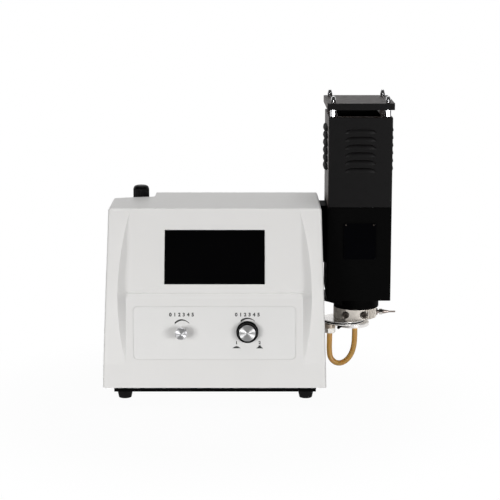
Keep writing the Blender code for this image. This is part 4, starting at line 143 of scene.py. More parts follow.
def node(tree, kind, *feeds, **settings):
    """A shader node; feeds go to its inputs in their order, settings to the property or input they name"""
    made = tree.nodes.new("ShaderNode" + kind)
    for key, value in settings.items():
        if hasattr(made, key):
            setattr(made, key, value)
        else:
            put(tree, made.inputs[key.replace("_", " ")], value)
    for socket, feed in zip(made.inputs, feeds):
        put(tree, socket, feed)
    return made


def finish(name, colour, rough, tone, spread=(0.06, 160.0), bump=None, depth=0.00005,
           stretch=(1.0, 1.0, 1.0), spun=None, **sockets):
    """A Principled material that varies by noise: tone holds the share and scale for its colour, spread
    those for its roughness and bump those for its surface"""
    made = bpy.data.materials.new(name)
    made.use_nodes = True
    tree = made.node_tree
    mapping = node(tree, "Mapping", node(tree, "TexCoord").outputs["Object"], Scale=stretch)

    def noise(scale, detail):
        return node(tree, "TexNoise", Vector=mapping, Scale=scale, Detail=detail).outputs["Fac"]

    share, scale = tone
    mix = node(tree, "Mix", noise(scale, 4.0), data_type="RGBA")
    mix.inputs[6].default_value = (*[c * (1.0 - share) for c in colour], 1.0)
    mix.inputs[7].default_value = (*[min(1.0, c * (1.0 + share)) for c in colour], 1.0)
    share, scale = spread
    ranged = node(tree, "MapRange", noise(scale, 3.0), From_Min=0.3, From_Max=0.7,
                  To_Min=max(0.02, rough - share), To_Max=min(1.0, rough + share))
    sockets.update(Base_Color=mix.outputs[2], Roughness=ranged)
    if bump:
        share, scale = bump
        sockets["Normal"] = node(tree, "Bump", Strength=share, Distance=depth, Height=noise(scale, 2.0))
    if spun:
        # Fine turning marks: the highlight spreads across the rings, so it shows as a bow-tie
        tangent = node(tree, "Tangent", direction_type="RADIAL", axis="Z")
        sockets.update(Tangent=tangent, Anisotropic=spun, Anisotropic_Rotation=0.25)
    for key, value in sockets.items():
        put(tree, tree.nodes["Principled BSDF"].inputs[key.replace("_", " ")], value)
    return made


def metal(name, colour, rough, tone, spread=(0.06, 160.0), **settings):
    return finish(name, colour, rough, tone, spread, Metallic=1.0, **settings)


case_paint = finish(
    "case_paint", (0.715, 0.707, 0.695), 0.46, (0.012, 22.0), (0.05, 160.0), bump=(0.16, 900.0),
    depth=0.00006)
overlay_film = finish(
    "overlay_film", (0.73, 0.725, 0.715), 0.38, (0.010, 30.0), (0.05, 160.0), bump=(0.10, 1600.0),
    depth=0.00004)
ink = finish("ink", (0.006, 0.006, 0.006), 0.6, (0.2, 500.0))
black_paint = finish(
    "black_paint", (0.0024, 0.0021, 0.0023), 0.46, (0.15, 30.0), (0.05, 90.0), bump=(0.20, 1500.0),
    depth=0.00006, Specular_IOR_Level=0.12, Sheen_Weight=0.05, Sheen_Roughness=0.35,
    Sheen_Tint=(1.0, 0.62, 0.50, 1.0))
black_deep = finish(
    "black_deep", (0.0008, 0.0008, 0.0008), 0.62, (0.15, 30.0), (0.05, 160.0), bump=(0.20, 1500.0),
    depth=0.00006, Specular_IOR_Level=0.03)
black_plastic = finish(
    "black_plastic", (0.0016, 0.0016, 0.0017), 0.34, (0.12, 60.0), bump=(0.18, 1400.0),
    Specular_IOR_Level=0.07)
black_rubber = finish(
    "black_rubber", (0.0018, 0.0017, 0.0017), 0.70, (0.2, 80.0), (0.08, 160.0), bump=(0.35, 700.0),
    depth=0.00012, Specular_IOR_Level=0.12)
chrome = metal("chrome", (0.64, 0.64, 0.65), 0.11, (0.02, 80.0), (0.03, 300.0))
spun_chrome = metal("spun_chrome", (0.54, 0.54, 0.55), 0.34, (0.02, 120.0), (0.01, 160.0), spun=0.95)
spun_aluminium = metal("spun_aluminium", (0.54, 0.54, 0.54), 0.34, (0.02, 120.0), (0.01, 160.0), spun=0.95)
steel = metal("steel", (0.58, 0.56, 0.53), 0.28, (0.06, 60.0), bump=(0.08, 800.0))
aged_steel = metal("aged_steel", (0.40, 0.34, 0.28), 0.34, (0.18, 140.0), (0.08, 160.0), bump=(0.15, 700.0))
worn_steel = metal("worn_steel", (0.27, 0.23, 0.21), 0.32, (0.15, 160.0), bump=(0.12, 700.0))
dark_steel = metal("dark_steel", (0.055, 0.046, 0.040), 0.36, (0.2, 120.0), (0.08, 160.0), bump=(0.15, 700.0))
cast_aluminium = metal(
    "cast_aluminium", (0.66, 0.62, 0.57), 0.58, (0.12, 110.0), (0.07, 240.0), bump=(0.18, 420.0))
aluminium = metal(
    "aluminium", (0.80, 0.78, 0.76), 0.27, (0.04, 50.0), (0.07, 240.0), bump=(0.10, 60.0),
    stretch=(1.0, 1.0, 18.0))
brass = metal("brass", (0.74, 0.53, 0.24), 0.24, (0.06, 90.0), (0.07, 160.0), bump=(0.08, 800.0))
board_green = finish("board_green", (0.015, 0.13, 0.055), 0.42, (0.15, 150.0), bump=(0.2, 400.0))
clear_glass = finish(
    "clear_glass", (0.95, 0.97, 0.97), 0.05, (0.01, 40.0), (0.02, 160.0), Transmission_Weight=0.92, IOR=1.47)
tinted_glass = finish(
    "tinted_glass", (0.0008, 0.0009, 0.0016), 0.07, (0.2, 25.0), (0.03, 40.0), Transmission_Weight=0.30,
    Specular_IOR_Level=0.06)
screen_black = finish(
    "screen_black", (0.0012, 0.0012, 0.0014), 0.09, (0.2, 18.0), (0.03, 30.0), Specular_IOR_Level=0.08)
amber_rubber = finish(
    "amber_rubber", (0.62, 0.33, 0.062), 0.36, (0.10, 90.0), (0.08, 200.0), bump=(0.12, 500.0),
    Subsurface_Weight=0.25, Subsurface_Radius=(0.004, 0.002, 0.0006), Subsurface_Scale=1.0,
    Coat_Weight=0.25, Coat_Roughness=0.2)
clear_rubber = finish(
    "clear_rubber", (0.62, 0.60, 0.55), 0.32, (0.06, 90.0), Subsurface_Weight=0.2,
    Subsurface_Radius=(0.003, 0.003, 0.002), Subsurface_Scale=1.0)
mark_white = finish("mark_white", (0.62, 0.62, 0.60), 0.5, (0.05, 500.0))

# The surfaces of each slot; a solid that shows itself takes the first
SURFACES = {
    "case_plastic": (case_paint,),
    "overlay": (overlay_film, ink),
    "black_paint": (black_paint, black_deep),
    "black_plastic": (black_plastic, mark_white),
    "black_rubber": (black_rubber,),
    "chrome": (chrome, spun_chrome),
    "steel": (steel, aged_steel, worn_steel, dark_steel),
    "aluminium": (aluminium, spun_aluminium, cast_aluminium),
    "brass": (brass,),
    "circuit_board": (board_green,),
    "screen_glass": (screen_black,),
    "dark_glass": (tinted_glass,),
    "clear_glass": (clear_glass,),
    "clear_hose": (clear_rubber,),
    "amber_hose": (amber_rubber,),
}


# Geometry helpers
def ramp(value, start, end):
    return min(1.0, max(0.0, (value - start) / (end - start)))


def ease(t):
    return t * t * (3.0 - 2.0 * t)


def evenly(start, end, count):
    """Even steps from start, without the end itself"""
    return [start + (end - start) * i / count for i in range(count)]


def fillet(points, steps, closed=False, radius=0.0):
    """A path of 2D points with rounded corners; a point's third number is a radius of its own"""
    radii = [point[2] if len(point) > 2 else radius for point in points]
    points = [Vector(point[:2]) for point in points]
    count = len(points)
    made = []
    for i, corner in enumerate(points):
        if not closed and i in (0, count - 1):
            made.append(tuple(corner))
            continue
        before = points[i - 1] - corner
        after = points[(i + 1) % count] - corner
        bend = pi - before.angle(after)
        if radii[i] <= 0.0 or bend < 0.001:
            made += [tuple(corner)] * (1 if closed or radii[i] <= 0.0 else steps + 1)
            continue
        slope = tan(bend * HALF)
        run = min(radii[i] * slope, 0.48 * before.length, 0.48 * after.length)
        middle = (before.normalized() + after.normalized()).normalized()
        centre = corner + middle * (run / slope / cos(bend * HALF))
        arm = corner + before.normalized() * run - centre
        sign = 1.0 if before.x * after.y - before.y * after.x < 0.0 else -1.0
        for k in range(steps + 1):
            a = sign * bend * k / steps
            made.append((centre.x + arm.x * cos(a) - arm.y * sin(a),
                         centre.y + arm.x * sin(a) + arm.y * cos(a)))
    return made


def circle(radius, steps, centre=(0.0, 0.0)):
    return [(centre[0] + radius * cos(2 * pi * i / steps), centre[1] + radius * sin(2 * pi * i / steps))
            for i in range(steps)]


def rounded_rectangle(width, height, radius, centre=(0.0, 0.0), steps=6):
    x, y = width * HALF, height * HALF
    corners = [(centre[0] + sx * x, centre[1] + sy * y) for sx, sy in ((1, -1), (1, 1), (-1, 1), (-1, -1))]
    return fillet(corners, steps, True, radius)


def hexagon(radius, start=0.0):
    angles = [start + i * pi / 3 for i in range(6)]
    return fillet([(radius * cos(a), radius * sin(a)) for a in angles], 2, True, 0.0004)


def band(bm, one, two):
    """Faces between two rings of equally many points"""
    for i in range(len(one)):
        j = (i + 1) % len(one)
        bm.faces.new((one[i], one[j], two[j], two[i]))


def skin(sections, caps=True):
    """Skins closed sections that hold equally many points"""
    bm = bmesh.new()
    rings = [[bm.verts.new(point) for point in section] for section in sections]
    for one, two in zip(rings, rings[1:]):
        band(bm, one, two)
    if caps:
        bm.faces.new(rings[0])
        bm.faces.new(rings[-1][::-1])
    bmesh.ops.remove_doubles(bm, verts=bm.verts, dist=0.000005)
    bmesh.ops.dissolve_degenerate(bm, edges=bm.edges, dist=0.000004)
    return bm


def lathe(profile, turns, closed=False, wave=None):
    """Turns (radius, height) points about local Z; wave(angle, radius, height) may change a radius"""
    bm = bmesh.new()
    rings = []
    for radius, height in profile:
        if radius < 0.000001:
            rings.append([bm.verts.new((0.0, 0.0, height))])
            continue
        ring = []
        for i in range(turns):
            a = 2.0 * pi * i / turns
            r = wave(a, radius, height) if wave else radius
            ring.append(bm.verts.new((r * cos(a), r * sin(a), height)))
        rings.append(ring)
    pairs = list(zip(rings, rings[1:]))
    if closed:
        pairs.append((rings[-1], rings[0]))
    for one, two in pairs:
        for i in range(turns):
            j = (i + 1) % turns
            corners = (one[i % len(one)], one[j % len(one)], two[j % len(two)], two[i % len(two)])
            unique = list(dict.fromkeys(corners))
            if len(unique) > 2:
                bm.faces.new(unique)
    return bm


def turned(points, turns, steps=3, closed=False, radius=0.0):
    """A lathe piece whose profile has rounded corners"""
    return lathe(fillet(points, steps, closed, radius), turns, closed)


def prism(points, low, high, edge=0.0, steps=2, ends=(True, True)):
    """An outline in local X and Y, thick along Z, with its rims rounded"""
    bm = bmesh.new()
    lower = [bm.verts.new((x, y, low)) for x, y in points]
    upper = [bm.verts.new((x, y, high)) for x, y in points]
    band(bm, lower, upper)
    caps = [bm.faces.new(lower[::-1]), bm.faces.new(upper)]
    if edge:
        rims = [e for face, used in zip(caps, ends) if used for e in face.edges]
        bmesh.ops.bevel(bm, geom=rims, offset=edge, segments=steps, profile=0.5, affect="EDGES")
    return bm


def box(low, high):
    bm = bmesh.new()
    low, high = Vector(low), Vector(high)
    made = bmesh.ops.create_cube(bm, size=1.0)
    grow = Matrix.Translation((low + high) * HALF) @ Matrix.Diagonal((*(high - low), 1.0))
    bmesh.ops.transform(bm, verts=made["verts"], matrix=grow)
    return bm


def merge(*parts):
    """Several meshes, each with its own placement or none, in one"""
    whole = bmesh.new()
    for part in parts:
        bm, place = part if isinstance(part, tuple) else (part, None)
        if place is not None:
            bmesh.ops.transform(bm, verts=bm.verts, matrix=place)
        spare = bpy.data.meshes.new("spare")
        bm.to_mesh(spare)
        bm.free()
        whole.from_mesh(spare)
        bpy.data.meshes.remove(spare)
    return whole


def tube(points, radius, steps):
    """A round tube along points, its rings carried along without twist"""
    ways = [(points[min(i + 1, len(points) - 1)] - points[max(i - 1, 0)]).normalized()
            for i in range(len(points))]
    side = ways[0].orthogonal().normalized()
    sections = []
    for point, way in zip(points, ways):
        side = (side - way * side.dot(way)).normalized()
        across = way.cross(side)
        sections.append([point + (side * cos(a) + across * sin(a)) * radius
                         for a in (2.0 * pi * k / steps for k in range(steps))])
    return skin(sections)


def smooth_line(points, pieces):
    """A smooth curve through points"""
    knots = [2 * points[0] - points[1], *points, 2 * points[-1] - points[-2]]
    made = []
    for a, b, c, d in zip(knots, knots[1:], knots[2:], knots[3:]):
        for i in range(pieces):
            t = i / pieces
            made.append(HALF * (2 * b + (c - a) * t + (2 * a - 5 * b + 4 * c - d) * t**2
                                + (3 * b - a - 3 * c + d) * t**3))
    made.append(points[-1])
    return made


def solid(name, bm, place=None):
    mesh = bpy.data.meshes.new(name)
    bmesh.ops.recalc_face_normals(bm, faces=bm.faces)
    bm.to_mesh(mesh)
    bm.free()
    item = add(name, mesh)
    item.matrix_world = TO_PACKED @ (place or Matrix())
    return item


def shown_mesh(item):
    """A piece's mesh as its modifiers or its text settings make it"""
    bpy.context.view_layer.update()
    return bpy.data.meshes.new_from_object(item.evaluated_get(bpy.context.evaluated_depsgraph_get()))


def modify(item, kind, **settings):
    """Puts a modifier on a piece and keeps its result"""
    modifier = item.modifiers.new(kind, kind)
    for key, value in settings.items():
        setattr(modifier, key, value)
    result = shown_mesh(item)
    item.modifiers.clear()
    item.data = result


def cut(item, cutter):
    """Cuts one object out of another and removes it"""
    modify(item, "BOOLEAN", solver="EXACT", object=cutter)
    bpy.data.objects.remove(cutter, do_unlink=True)


def carve(item, bm, place=None):
    cut(item, solid("cutter", bm, place))


def soften(item, width, angle):
    modify(item, "BEVEL", width=width, segments=2, limit_method="ANGLE", angle_limit=radians(angle))


def dress(item, surface, stands_for=None, angle=32.0, body="instrument"):
    """Shading, surface and the frame's tags; flat faces keep their normals, only rounded edges turn them"""
    item.data.shade_smooth()
    item.data.set_sharp_from_angle(angle=radians(angle))
    modify(item, "WEIGHTED_NORMAL", keep_sharp=True, weight=60)
    item.data.materials.clear()
    item.data.materials.append(surface)
    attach(item, body)
    if stands_for:
        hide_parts(stands_for)
    return item


def piece(name, bm, surface, place=None, stands_for=None, angle=32.0, body="instrument"):
    return dress(solid(name, bm, place), surface, stands_for, angle, body)


def screw(name, place, radius, height, surface=steel):
    """A domed head with a cross recess; local Z points out"""
    dome = [(0.0, height), (radius * 0.55, height * 0.96, radius * 0.8),
            (radius, height * 0.35, radius * 0.12), (radius, -0.0002), (0.0, -0.0002)]
    head = solid(name, turned(dome, 40, 5), place)
    arm, wide = radius * 0.55, radius * 0.12
    carve(head, merge(*[box((-x, -y, height * 0.45), (x, y, height * 2))
                        for x, y in ((arm, wide), (wide, arm))]), place)
    dress(head, surface)


# Drain hose, the one free tube: its route repeats the solid's, shown from end to end
HOSE_RADIUS = 0.0044
HOSE_Y = 0.125
HOSE_ROUTE = (
    (0.1815, 0.0841), (0.1814, 0.0700), (0.1814, 0.0560), (0.1834, 0.0432), (0.1904, 0.0352),
    (0.2001, 0.0338), (0.2098, 0.0394), (0.2170, 0.0502), (0.2206, 0.0636), (0.2216, 0.0780),
    (0.2217, 0.0927),
)
hose_path = smooth_line([Vector((x, HOSE_Y, z)) for x, z in HOSE_ROUTE], 6)
hose = piece("drain_hose_amber", tube(hose_path, HOSE_RADIUS, 24), amber_rubber, stands_for="drain_hose")


# Console front
def ledge_share(z):
    rise = min(1.0, max(0.0, (z - CREASE_Z) / LEDGE_ROUND + 1.0))
    return 1.0 - sqrt(1.0 - rise**2)


def shoulder(z, radius, inset=0.0):
    """How far an edge of this radius has turned inwards at z, just under the top"""
    rise = max(0.0, z - (TOP_Z - inset - radius))
    return radius - sqrt(max(0.0, radius**2 - rise**2))


def taper(z):
    return FOOT_HALF_WIDTH + (HEAD_HALF_WIDTH - FOOT_HALF_WIDTH) * (z - RIM_Z) / (TOP_Z - RIM_Z)


def half_width(z, inset=0.0):
    return taper(z) - inset - shoulder(z, CASE_CORNER - inset, inset)


def face_y(z):
    if z < CREASE_Z:
        return CREASE_Y + (z - CREASE_Z) * tan(FACE_TILT) + LEDGE_DEPTH * ledge_share(z)
    return SCREEN_FOOT_Y + (z - CREASE_Z) * tan(SCREEN_TILT)


def blend(z, foot, knee, head):
    a = BLEND_LOW_Z - 2 * CREASE_Z + BLEND_HIGH_Z
    b = 2 * (CREASE_Z - BLEND_LOW_Z)
    c = BLEND_LOW_Z - min(BLEND_HIGH_Z, max(BLEND_LOW_Z, z))
    t = -2 * c / (b + sqrt(b**2 - 4 * a * c))
    return (1 - t) ** 2 * foot + 2 * t * (1 - t) * knee + t**2 * head


def strip_y(z):
    y = face_y(z)
    if BLEND_LOW_Z < z < BLEND_HIGH_Z:
        y = blend(z, face_y(BLEND_LOW_Z), STRIP_KNEE_Y, face_y(BLEND_HIGH_Z))
        y += STRIP_HOLLOW * sin(pi * ramp(z, CREASE_Z, BLEND_HIGH_Z)) ** 2
    return y + shoulder(z, STRIP_SHOULDER)


LIP_PROUD, LIP_MIDDLE_Z, LIP_CORNER_Z = 0.0011, 0.1838, 0.1768
LIP_FOOT, LIP_TOP_BELOW, LIP_TOP_ABOVE = 0.0012, 0.0014, 0.0016  # over which it rises and ends


def centre_y(x, z):
    """The raised centre, its softened top edge and the shallow lip along the leaning panel's foot, which
    falls towards both corners"""
    y = face_y(z) + shoulder(z, CENTRE_SHOULDER)
    if z >= CREASE_Z:
        top = LIP_MIDDLE_Z - (LIP_MIDDLE_Z - LIP_CORNER_Z) * ramp(abs(x), 0.078, 0.118)
        fade = 1.0 - ease(ramp(z, top - LIP_TOP_BELOW, top + LIP_TOP_ABOVE))
        y -= LIP_PROUD * fade * ease(ramp(z, CREASE_Z, CREASE_Z + LIP_FOOT))
    return y


def half_row(z, inset):
    """Right half of a level section, from the middle to the seam, always with equally many points"""
    half = half_width(z, inset)
    corner = CASE_CORNER - inset
    strip = strip_y(z) + inset
    outer = blend(z, *STRIP_EDGE)
    raised = centre_y(CRESCENT_END, z) + inset
    share = ledge_share(z)
    soft = outer - max(0.0, strip - raised) / CRESCENT_SLOPE
    turn_x = CENTRE_FOOT_HALF + (soft - CENTRE_FOOT_HALF) * share
    reach = max(0.0, turn_x - CRESCENT_END) / tan(atan(CRESCENT_SLOPE) * HALF)
    bend = max(0.0005, 0.0026 + (reach - 0.0026) * share)
    edge = fillet([(turn_x - 0.03, raised), (turn_x, raised, bend), (outer, strip, 0.0012),
                   (outer + 0.010, strip)], 7)[1:-1]
    centre = [(x, centre_y(x, z) + inset) for x in evenly(0.0, edge[0][0] - 0.0005, 30)]
    rim = [(half - corner + corner * sin(QUARTER * k / 6), strip + corner - corner * cos(QUARTER * k / 6))
           for k in range(7)]
    run = [tuple(Vector(edge[-1]).lerp(rim[0], k / 5)) for k in range(1, 5)]
    return centre + edge + run + rim + [(half, max(SEAM_Y - 0.004, rim[-1][1] + 0.0002)), (half, SEAM_Y)]


def whole_row(z, inset=0.0):
    row = half_row(z, inset)
    return [(-x, y, z) for x, y in row[:0:-1]] + [(x, y, z) for x, y in row]


def cut_valve_holes(item):
    for side in (-1, 1):
        carve(item, prism(circle(VALVE_HOLE, 32, (side * VALVE_X, 0.0)), -0.01, 0.01), CONTROL)


def make_front():
    ledge_z = CREASE_Z - LEDGE_ROUND
    stops = [(SKIRT_Z, 1), (SKIRT_Z + 0.0006, 1), (SKIRT_Z + 0.003, 4), (BLEND_LOW_Z - 0.006, 10),
             (BLEND_LOW_Z + 0.012, 16), (ledge_z, 0), (CREASE_Z, 5), (CREASE_Z + 0.0015, 20),
             (CREASE_Z + 0.0125, 18), (BLEND_HIGH_Z - 0.006, 0)]
    levels = [z for (low, count), (high, _) in zip(stops, stops[1:]) for z in evenly(low, high, count)]
    for foot, rise, last in ((ledge_z, LEDGE_ROUND, 12), (TOP_Z - CASE_CORNER, CASE_CORNER, 13)):
        levels += [foot + rise * sin(QUARTER * i / 12) for i in range(last)]
    levels.sort()
    below = [z for z in levels if z < CEILING_Z - CLOSE]
    sections = [whole_row(z) + whole_row(z, WALL)[::-1] for z in (*below, CEILING_Z)]
    ceiling = whole_row(CEILING_Z, WALL)
    for z in [CEILING_Z] + [z for z in levels if z > CEILING_Z + CLOSE]:
        shrink = half_width(z) / half_width(CEILING_Z)
        sections.append(whole_row(z) + [(x * shrink, SEAM_Y, z) for x, _, _ in ceiling[::-1]])
    front = solid("console_front", skin(sections))
    carve(front, prism(rounded_rectangle(*SCREEN_SIZE, 0.001, SCREEN_CENTRE), -0.02, 0.02), SCREEN)
    carve(front, prism(rounded_rectangle(*PLATE_RECESS, 0.0068, PLATE_CENTRE), -0.001, 0.02), CONTROL)
    cut_valve_holes(front)
    dress(front, case_paint, "front_moulding", 38.0)


def make_screen():
    width, height = SCREEN_SIZE
    lip = [(-0.0014, -0.0010), (-0.0014, 0.0000), (-0.0010, 0.0004), (-0.0002, 0.0005), (0.0003, 0.0002),
           (0.0004, -0.0012), (-0.0001, -0.0026), (-0.0004, -0.0026)]
    loops = []
    for inset, z in lip:
        corner = max(0.0012 - inset, 0.0003)
        outline = rounded_rectangle(width - 2 * inset, height - 2 * inset, corner, SCREEN_CENTRE)
        loops.append([(x, y, z) for x, y in outline])
    piece("screen_lip", skin([*loops, loops[0]], caps=False), case_paint, SCREEN)
    pane = rounded_rectangle(width + 0.010, height + 0.010, 0.003, SCREEN_CENTRE)
    piece("screen_glass", prism(pane, -0.0050, -0.0033, 0.0003), screen_black, SCREEN, "touch_screen")


# Printed marks on the control face
MARK_LOW = 0.00031
MARK_THICKNESS = 0.00004
MARK_WEIGHT = 0.00034  # added round each printed number, so that it reads bold
DIGIT_HEIGHT, DIGIT_PITCH, DIGIT_Y = 0.0054, 0.0068, 0.0258
SMALL_DIGIT, SMALL_DIGIT_Y = 0.0046, -0.0175


def mark(points):
    return prism(points, MARK_LOW, MARK_LOW + MARK_THICKNESS)


def arc_mark(middle_x, foot_y, half_span, rise, thick_left, thick_right):
    """A printed arc that thins from its left end to its right end"""
    outer, inner = [], []
    for i in range(21):
        t = i / 20
        x = middle_x - half_span + 2 * half_span * t
        y = foot_y + rise * (1.0 - (2 * t - 1.0) ** 2)
        thick = (thick_left + (thick_right - thick_left) * t) * HALF
        outer.append((x, y + thick))
        inner.append((x, y - thick))
    return mark(outer + inner[::-1])


def numerals(text, height, x, y):
    """Plain printed numbers, as a mesh"""
    curve = bpy.data.curves.new("numerals", "FONT")
    curve.body = text
    curve.size = height * 1.37
    curve.offset = MARK_WEIGHT
    curve.align_x = "CENTER"
    curve.align_y = "CENTER"
    curve.extrude = MARK_THICKNESS * HALF
    item = add("numerals", curve)
    mesh = shown_mesh(item)
    bpy.data.objects.remove(item, do_unlink=True)
    bm = bmesh.new()
    bm.from_mesh(mesh)
    bpy.data.meshes.remove(mesh)
    bmesh.ops.translate(bm, verts=bm.verts, vec=(x, y, MARK_LOW + MARK_THICKNESS * HALF))
    return bm


def make_control_face():
    film = rounded_rectangle(*PLATE_SIZE, 0.0065, PLATE_CENTRE)
    plate = solid("control_overlay", prism(film, -0.0007, 0.0003, 0.00015, ends=(False, True)), CONTROL)
    cut_valve_holes(plate)
    dress(plate, overlay_film, "control_plate")
    left_symbol = [(-0.0228, -0.0259), (-0.0195, -0.0234), (-0.0165, -0.0226), (-0.0135, -0.0234),
                   (-0.0102, -0.0259)]
    right_symbol = [(0.0133, -0.0262), (0.0166, -0.0234), (0.0172, -0.0214), (0.0202, -0.0214),
                    (0.0208, -0.0234), (0.0241, -0.0262)]
    marks = [arc_mark(0.0006 - VALVE_X, 0.0126, 0.0112, 0.0052, 0.0034, 0.0009),
             arc_mark(0.0006 + VALVE_X, 0.0159, 0.0108, 0.0044, 0.0036, 0.0009)]
    marks += [mark([(VALVE_X + x, y) for x, y in symbol]) for symbol in (left_symbol, right_symbol)]
    for text, x in (("1", -0.0165), ("2", 0.0187)):
        marks.append(numerals(text, SMALL_DIGIT, VALVE_X + x, SMALL_DIGIT_Y))
    for x in (-VALVE_X, VALVE_X):
        marks += [numerals(str(i), DIGIT_HEIGHT, x + (i - 2.5) * DIGIT_PITCH, DIGIT_Y) for i in range(6)]
    piece("control_marks", merge(*marks), ink, CONTROL)


# Knobs of the two valves
LEFT_VALVE, RIGHT_VALVE = CONTROL @ shift(-VALVE_X, 0.0), CONTROL @ shift(VALVE_X, 0.0)


def hex_nut(radius, low, high, start):
    """A nut whose corners are turned off at both ends"""
    bm = prism(hexagon(radius, start), low, high, 0.00015, 1)
    for vert in bm.verts:
        flat = hypot(vert.co.x, vert.co.y)
        near = min(vert.co.z - low, high - vert.co.z)
        limit = radius * 0.90 + near * 1.7
        if flat > limit:
            vert.co.x *= limit / flat
            vert.co.y *= limit / flat
    return bm


def make_fine_knob():
    out, length, radius = 0.0239, 0.012, 0.009
    profile = [(0.0, out), (radius, out, 0.0013), (radius, out - length, 0.0016),
               (0.0058, out - length, 0.0008), (0.0058, 0.0090, 0.0003), (0.0033, 0.0090), (0.0033, 0.0130),
               (0.0, 0.0130)]
    piece("fine_adjust_spun_knob", turned(profile, 96, 5), spun_chrome, LEFT_VALVE, "fine_adjust_knob",
          40.0, "fine_adjust")
    collar = [(0.0053, 0.0046), (0.0062, 0.0046), (0.0062, 0.0052), (0.0053, 0.0052)]
    nut = merge(hex_nut(0.0081, 0.0006, 0.0046, QUARTER), turned(collar, 48, 2, True, 0.0002))
    piece("fine_valve_hex_nut", nut, chrome, LEFT_VALVE, "fine_valve_nut")


def make_gas_knob():
    back, front = 0.0038, 0.0153
    hollow = [(0.0, 0.0132), (0.0031, 0.0132), (0.0031, 0.0078), (0.0060, 0.0078), (0.0060, 0.0129),
              (0.0108, 0.0129)]
    profile = [(0.01385, back), (0.01685, back, 0.0005), (0.01685, back + 0.0030, 0.0010),
               (0.0150, back + 0.0036, 0.0010), (0.0142, front - 0.0008, 0.0006), (0.0138, front, 0.0002),
               (0.0134, front), (0.0134, front - 0.0010), (0.0, front - 0.0010)]
    piece("gas_valve_skirted_knob", turned(hollow + profile, 96, 4), black_plastic, RIGHT_VALVE,
          "gas_valve_knob", 40.0, "gas_knob")
    face = [(0.0, front + 0.0007), (0.0123, front + 0.0007, 0.0004), (0.0123, front - 0.0007),
            (0.0, front - 0.0007)]
    piece("gas_valve_spun_cap", turned(face, 128), spun_aluminium, RIGHT_VALVE, "gas_valve_cap", 40.0,
          "gas_knob")


# Console cover, its pocket and the regulator's knob
BEND_ROUND = 0.015
TOP_REAR_Y, REAR_TOP_Z = 0.2228, 0.225


def cover_line(inset):
    """Top of the cover from front to rear as (y, z)"""
    slope = (TOP_Z - REAR_TOP_Z) / (REAR_Y - TOP_REAR_Y)
    bend_y = TOP_REAR_Y - inset * tan(atan(slope) * HALF)
    end_y = REAR_Y + 0.001
    top = TOP_Z - inset
    return fillet([(SEAM_Y - 0.001, top), (bend_y, top, BEND_ROUND - inset),
                   (end_y, top - (end_y - bend_y) * slope)], 8)


def cover_solid(inset, start_y, end_y, low_z):
    sections = []
    line = cover_line(inset)
    corner = CASE_CORNER - inset
    (before_y, before_z), (last_y, last_z) = line[-2:]
    end_z = before_z + (last_z - before_z) / (last_y - before_y) * (end_y - before_y)
    for y, top in [(start_y, line[0][1]), *line[1:-1], (end_y, end_z)]:
        half = [(taper(z) - inset, z) for z in (low_z, (low_z + top) * HALF, top - corner)]
        centre_x = half[-1][0] - corner
        half += [(centre_x + corner * cos(QUARTER * k / 8), top - corner + corner * sin(QUARTER * k / 8))
                 for k in range(1, 9)]
        sections.append([(x, y, z) for x, z in half] + [(-x, y, z) for x, z in half[::-1]])
    return skin(sections)


def pocket(grow):
    """Room for the regulator at the case's rear left"""
    right, left, rear_y, front_y = -0.0987 + grow, -0.25, REAR_Y + 0.02, 0.156 - grow
    points = [(left, rear_y), (left, front_y), (-0.170, front_y, 0.010), (right - 0.03, 0.169 - grow, 0.030),
              (right, 0.1745 - grow, 0.007 + grow), (right, rear_y)]
    return prism(fillet(points, 6, True), 0.276 - grow, TOP_Z + 0.05)


def make_cover():
    cover = solid("console_cover", cover_solid(0.0, SEAM_Y + 0.0003, REAR_Y, SKIRT_Z))
    hollow = solid("cover_hollow", cover_solid(WALL, SEAM_Y - 0.002, REAR_Y + 0.002, SKIRT_Z - 0.002))
    carve(hollow, pocket(WALL))
    carve(cover, pocket(0.0))
    cut(cover, hollow)
    carve(cover, prism(circle(REGULATOR_HOLE, 40, REGULATOR_PLACE), 0.26, 0.29))
    beam_hole = lathe([(0.0, -0.06), (CASE_BEAM_HOLE, -0.06), (CASE_BEAM_HOLE, 0.06), (0.0, 0.06)], 40)
    carve(cover, beam_hole, shift(0.17, FLAME_Y, BEAM_Z) @ ALONG_X)
    soften(cover, 0.0008, 60.0)
    dress(cover, case_paint, "top_cover", 35.0)


def make_regulator_knob():
    foot, top, radius = 0.2763, 0.3133, 0.01285
    ribs, depth = 30, 0.0005

    def ribbed(angle, r, height):
        if r < radius * 0.97 or height > top - 0.0060 or height < foot + 0.0015:
            return r
        return r - depth * (0.5 - 0.5 * cos(ribs * angle)) ** 0.6

    inside = [(0.0, foot + 0.020), (0.0098, foot + 0.020), (0.0098, foot), (radius - 0.0004, foot)]
    side = [(radius, z) for z in (foot + 0.0004, foot + 0.0014, *evenly(foot + 0.0016, top - 0.0062, 6))]
    crown = ((0.0, 0.0060), (0.0003, 0.0050), (0.0012, 0.0026), (0.0024, 0.0013), (0.0042, 0.0004),
             (0.0062, 0.0))
    profile = [*inside, *side, *[(radius - narrow, top - down) for narrow, down in crown], (0.0, top)]
    piece("regulator_ribbed_knob", lathe(profile, ribs * 8, wave=ribbed), black_plastic,
          shift(*REGULATOR_PLACE), "regulator_knob", 40.0, "regulator_cap")


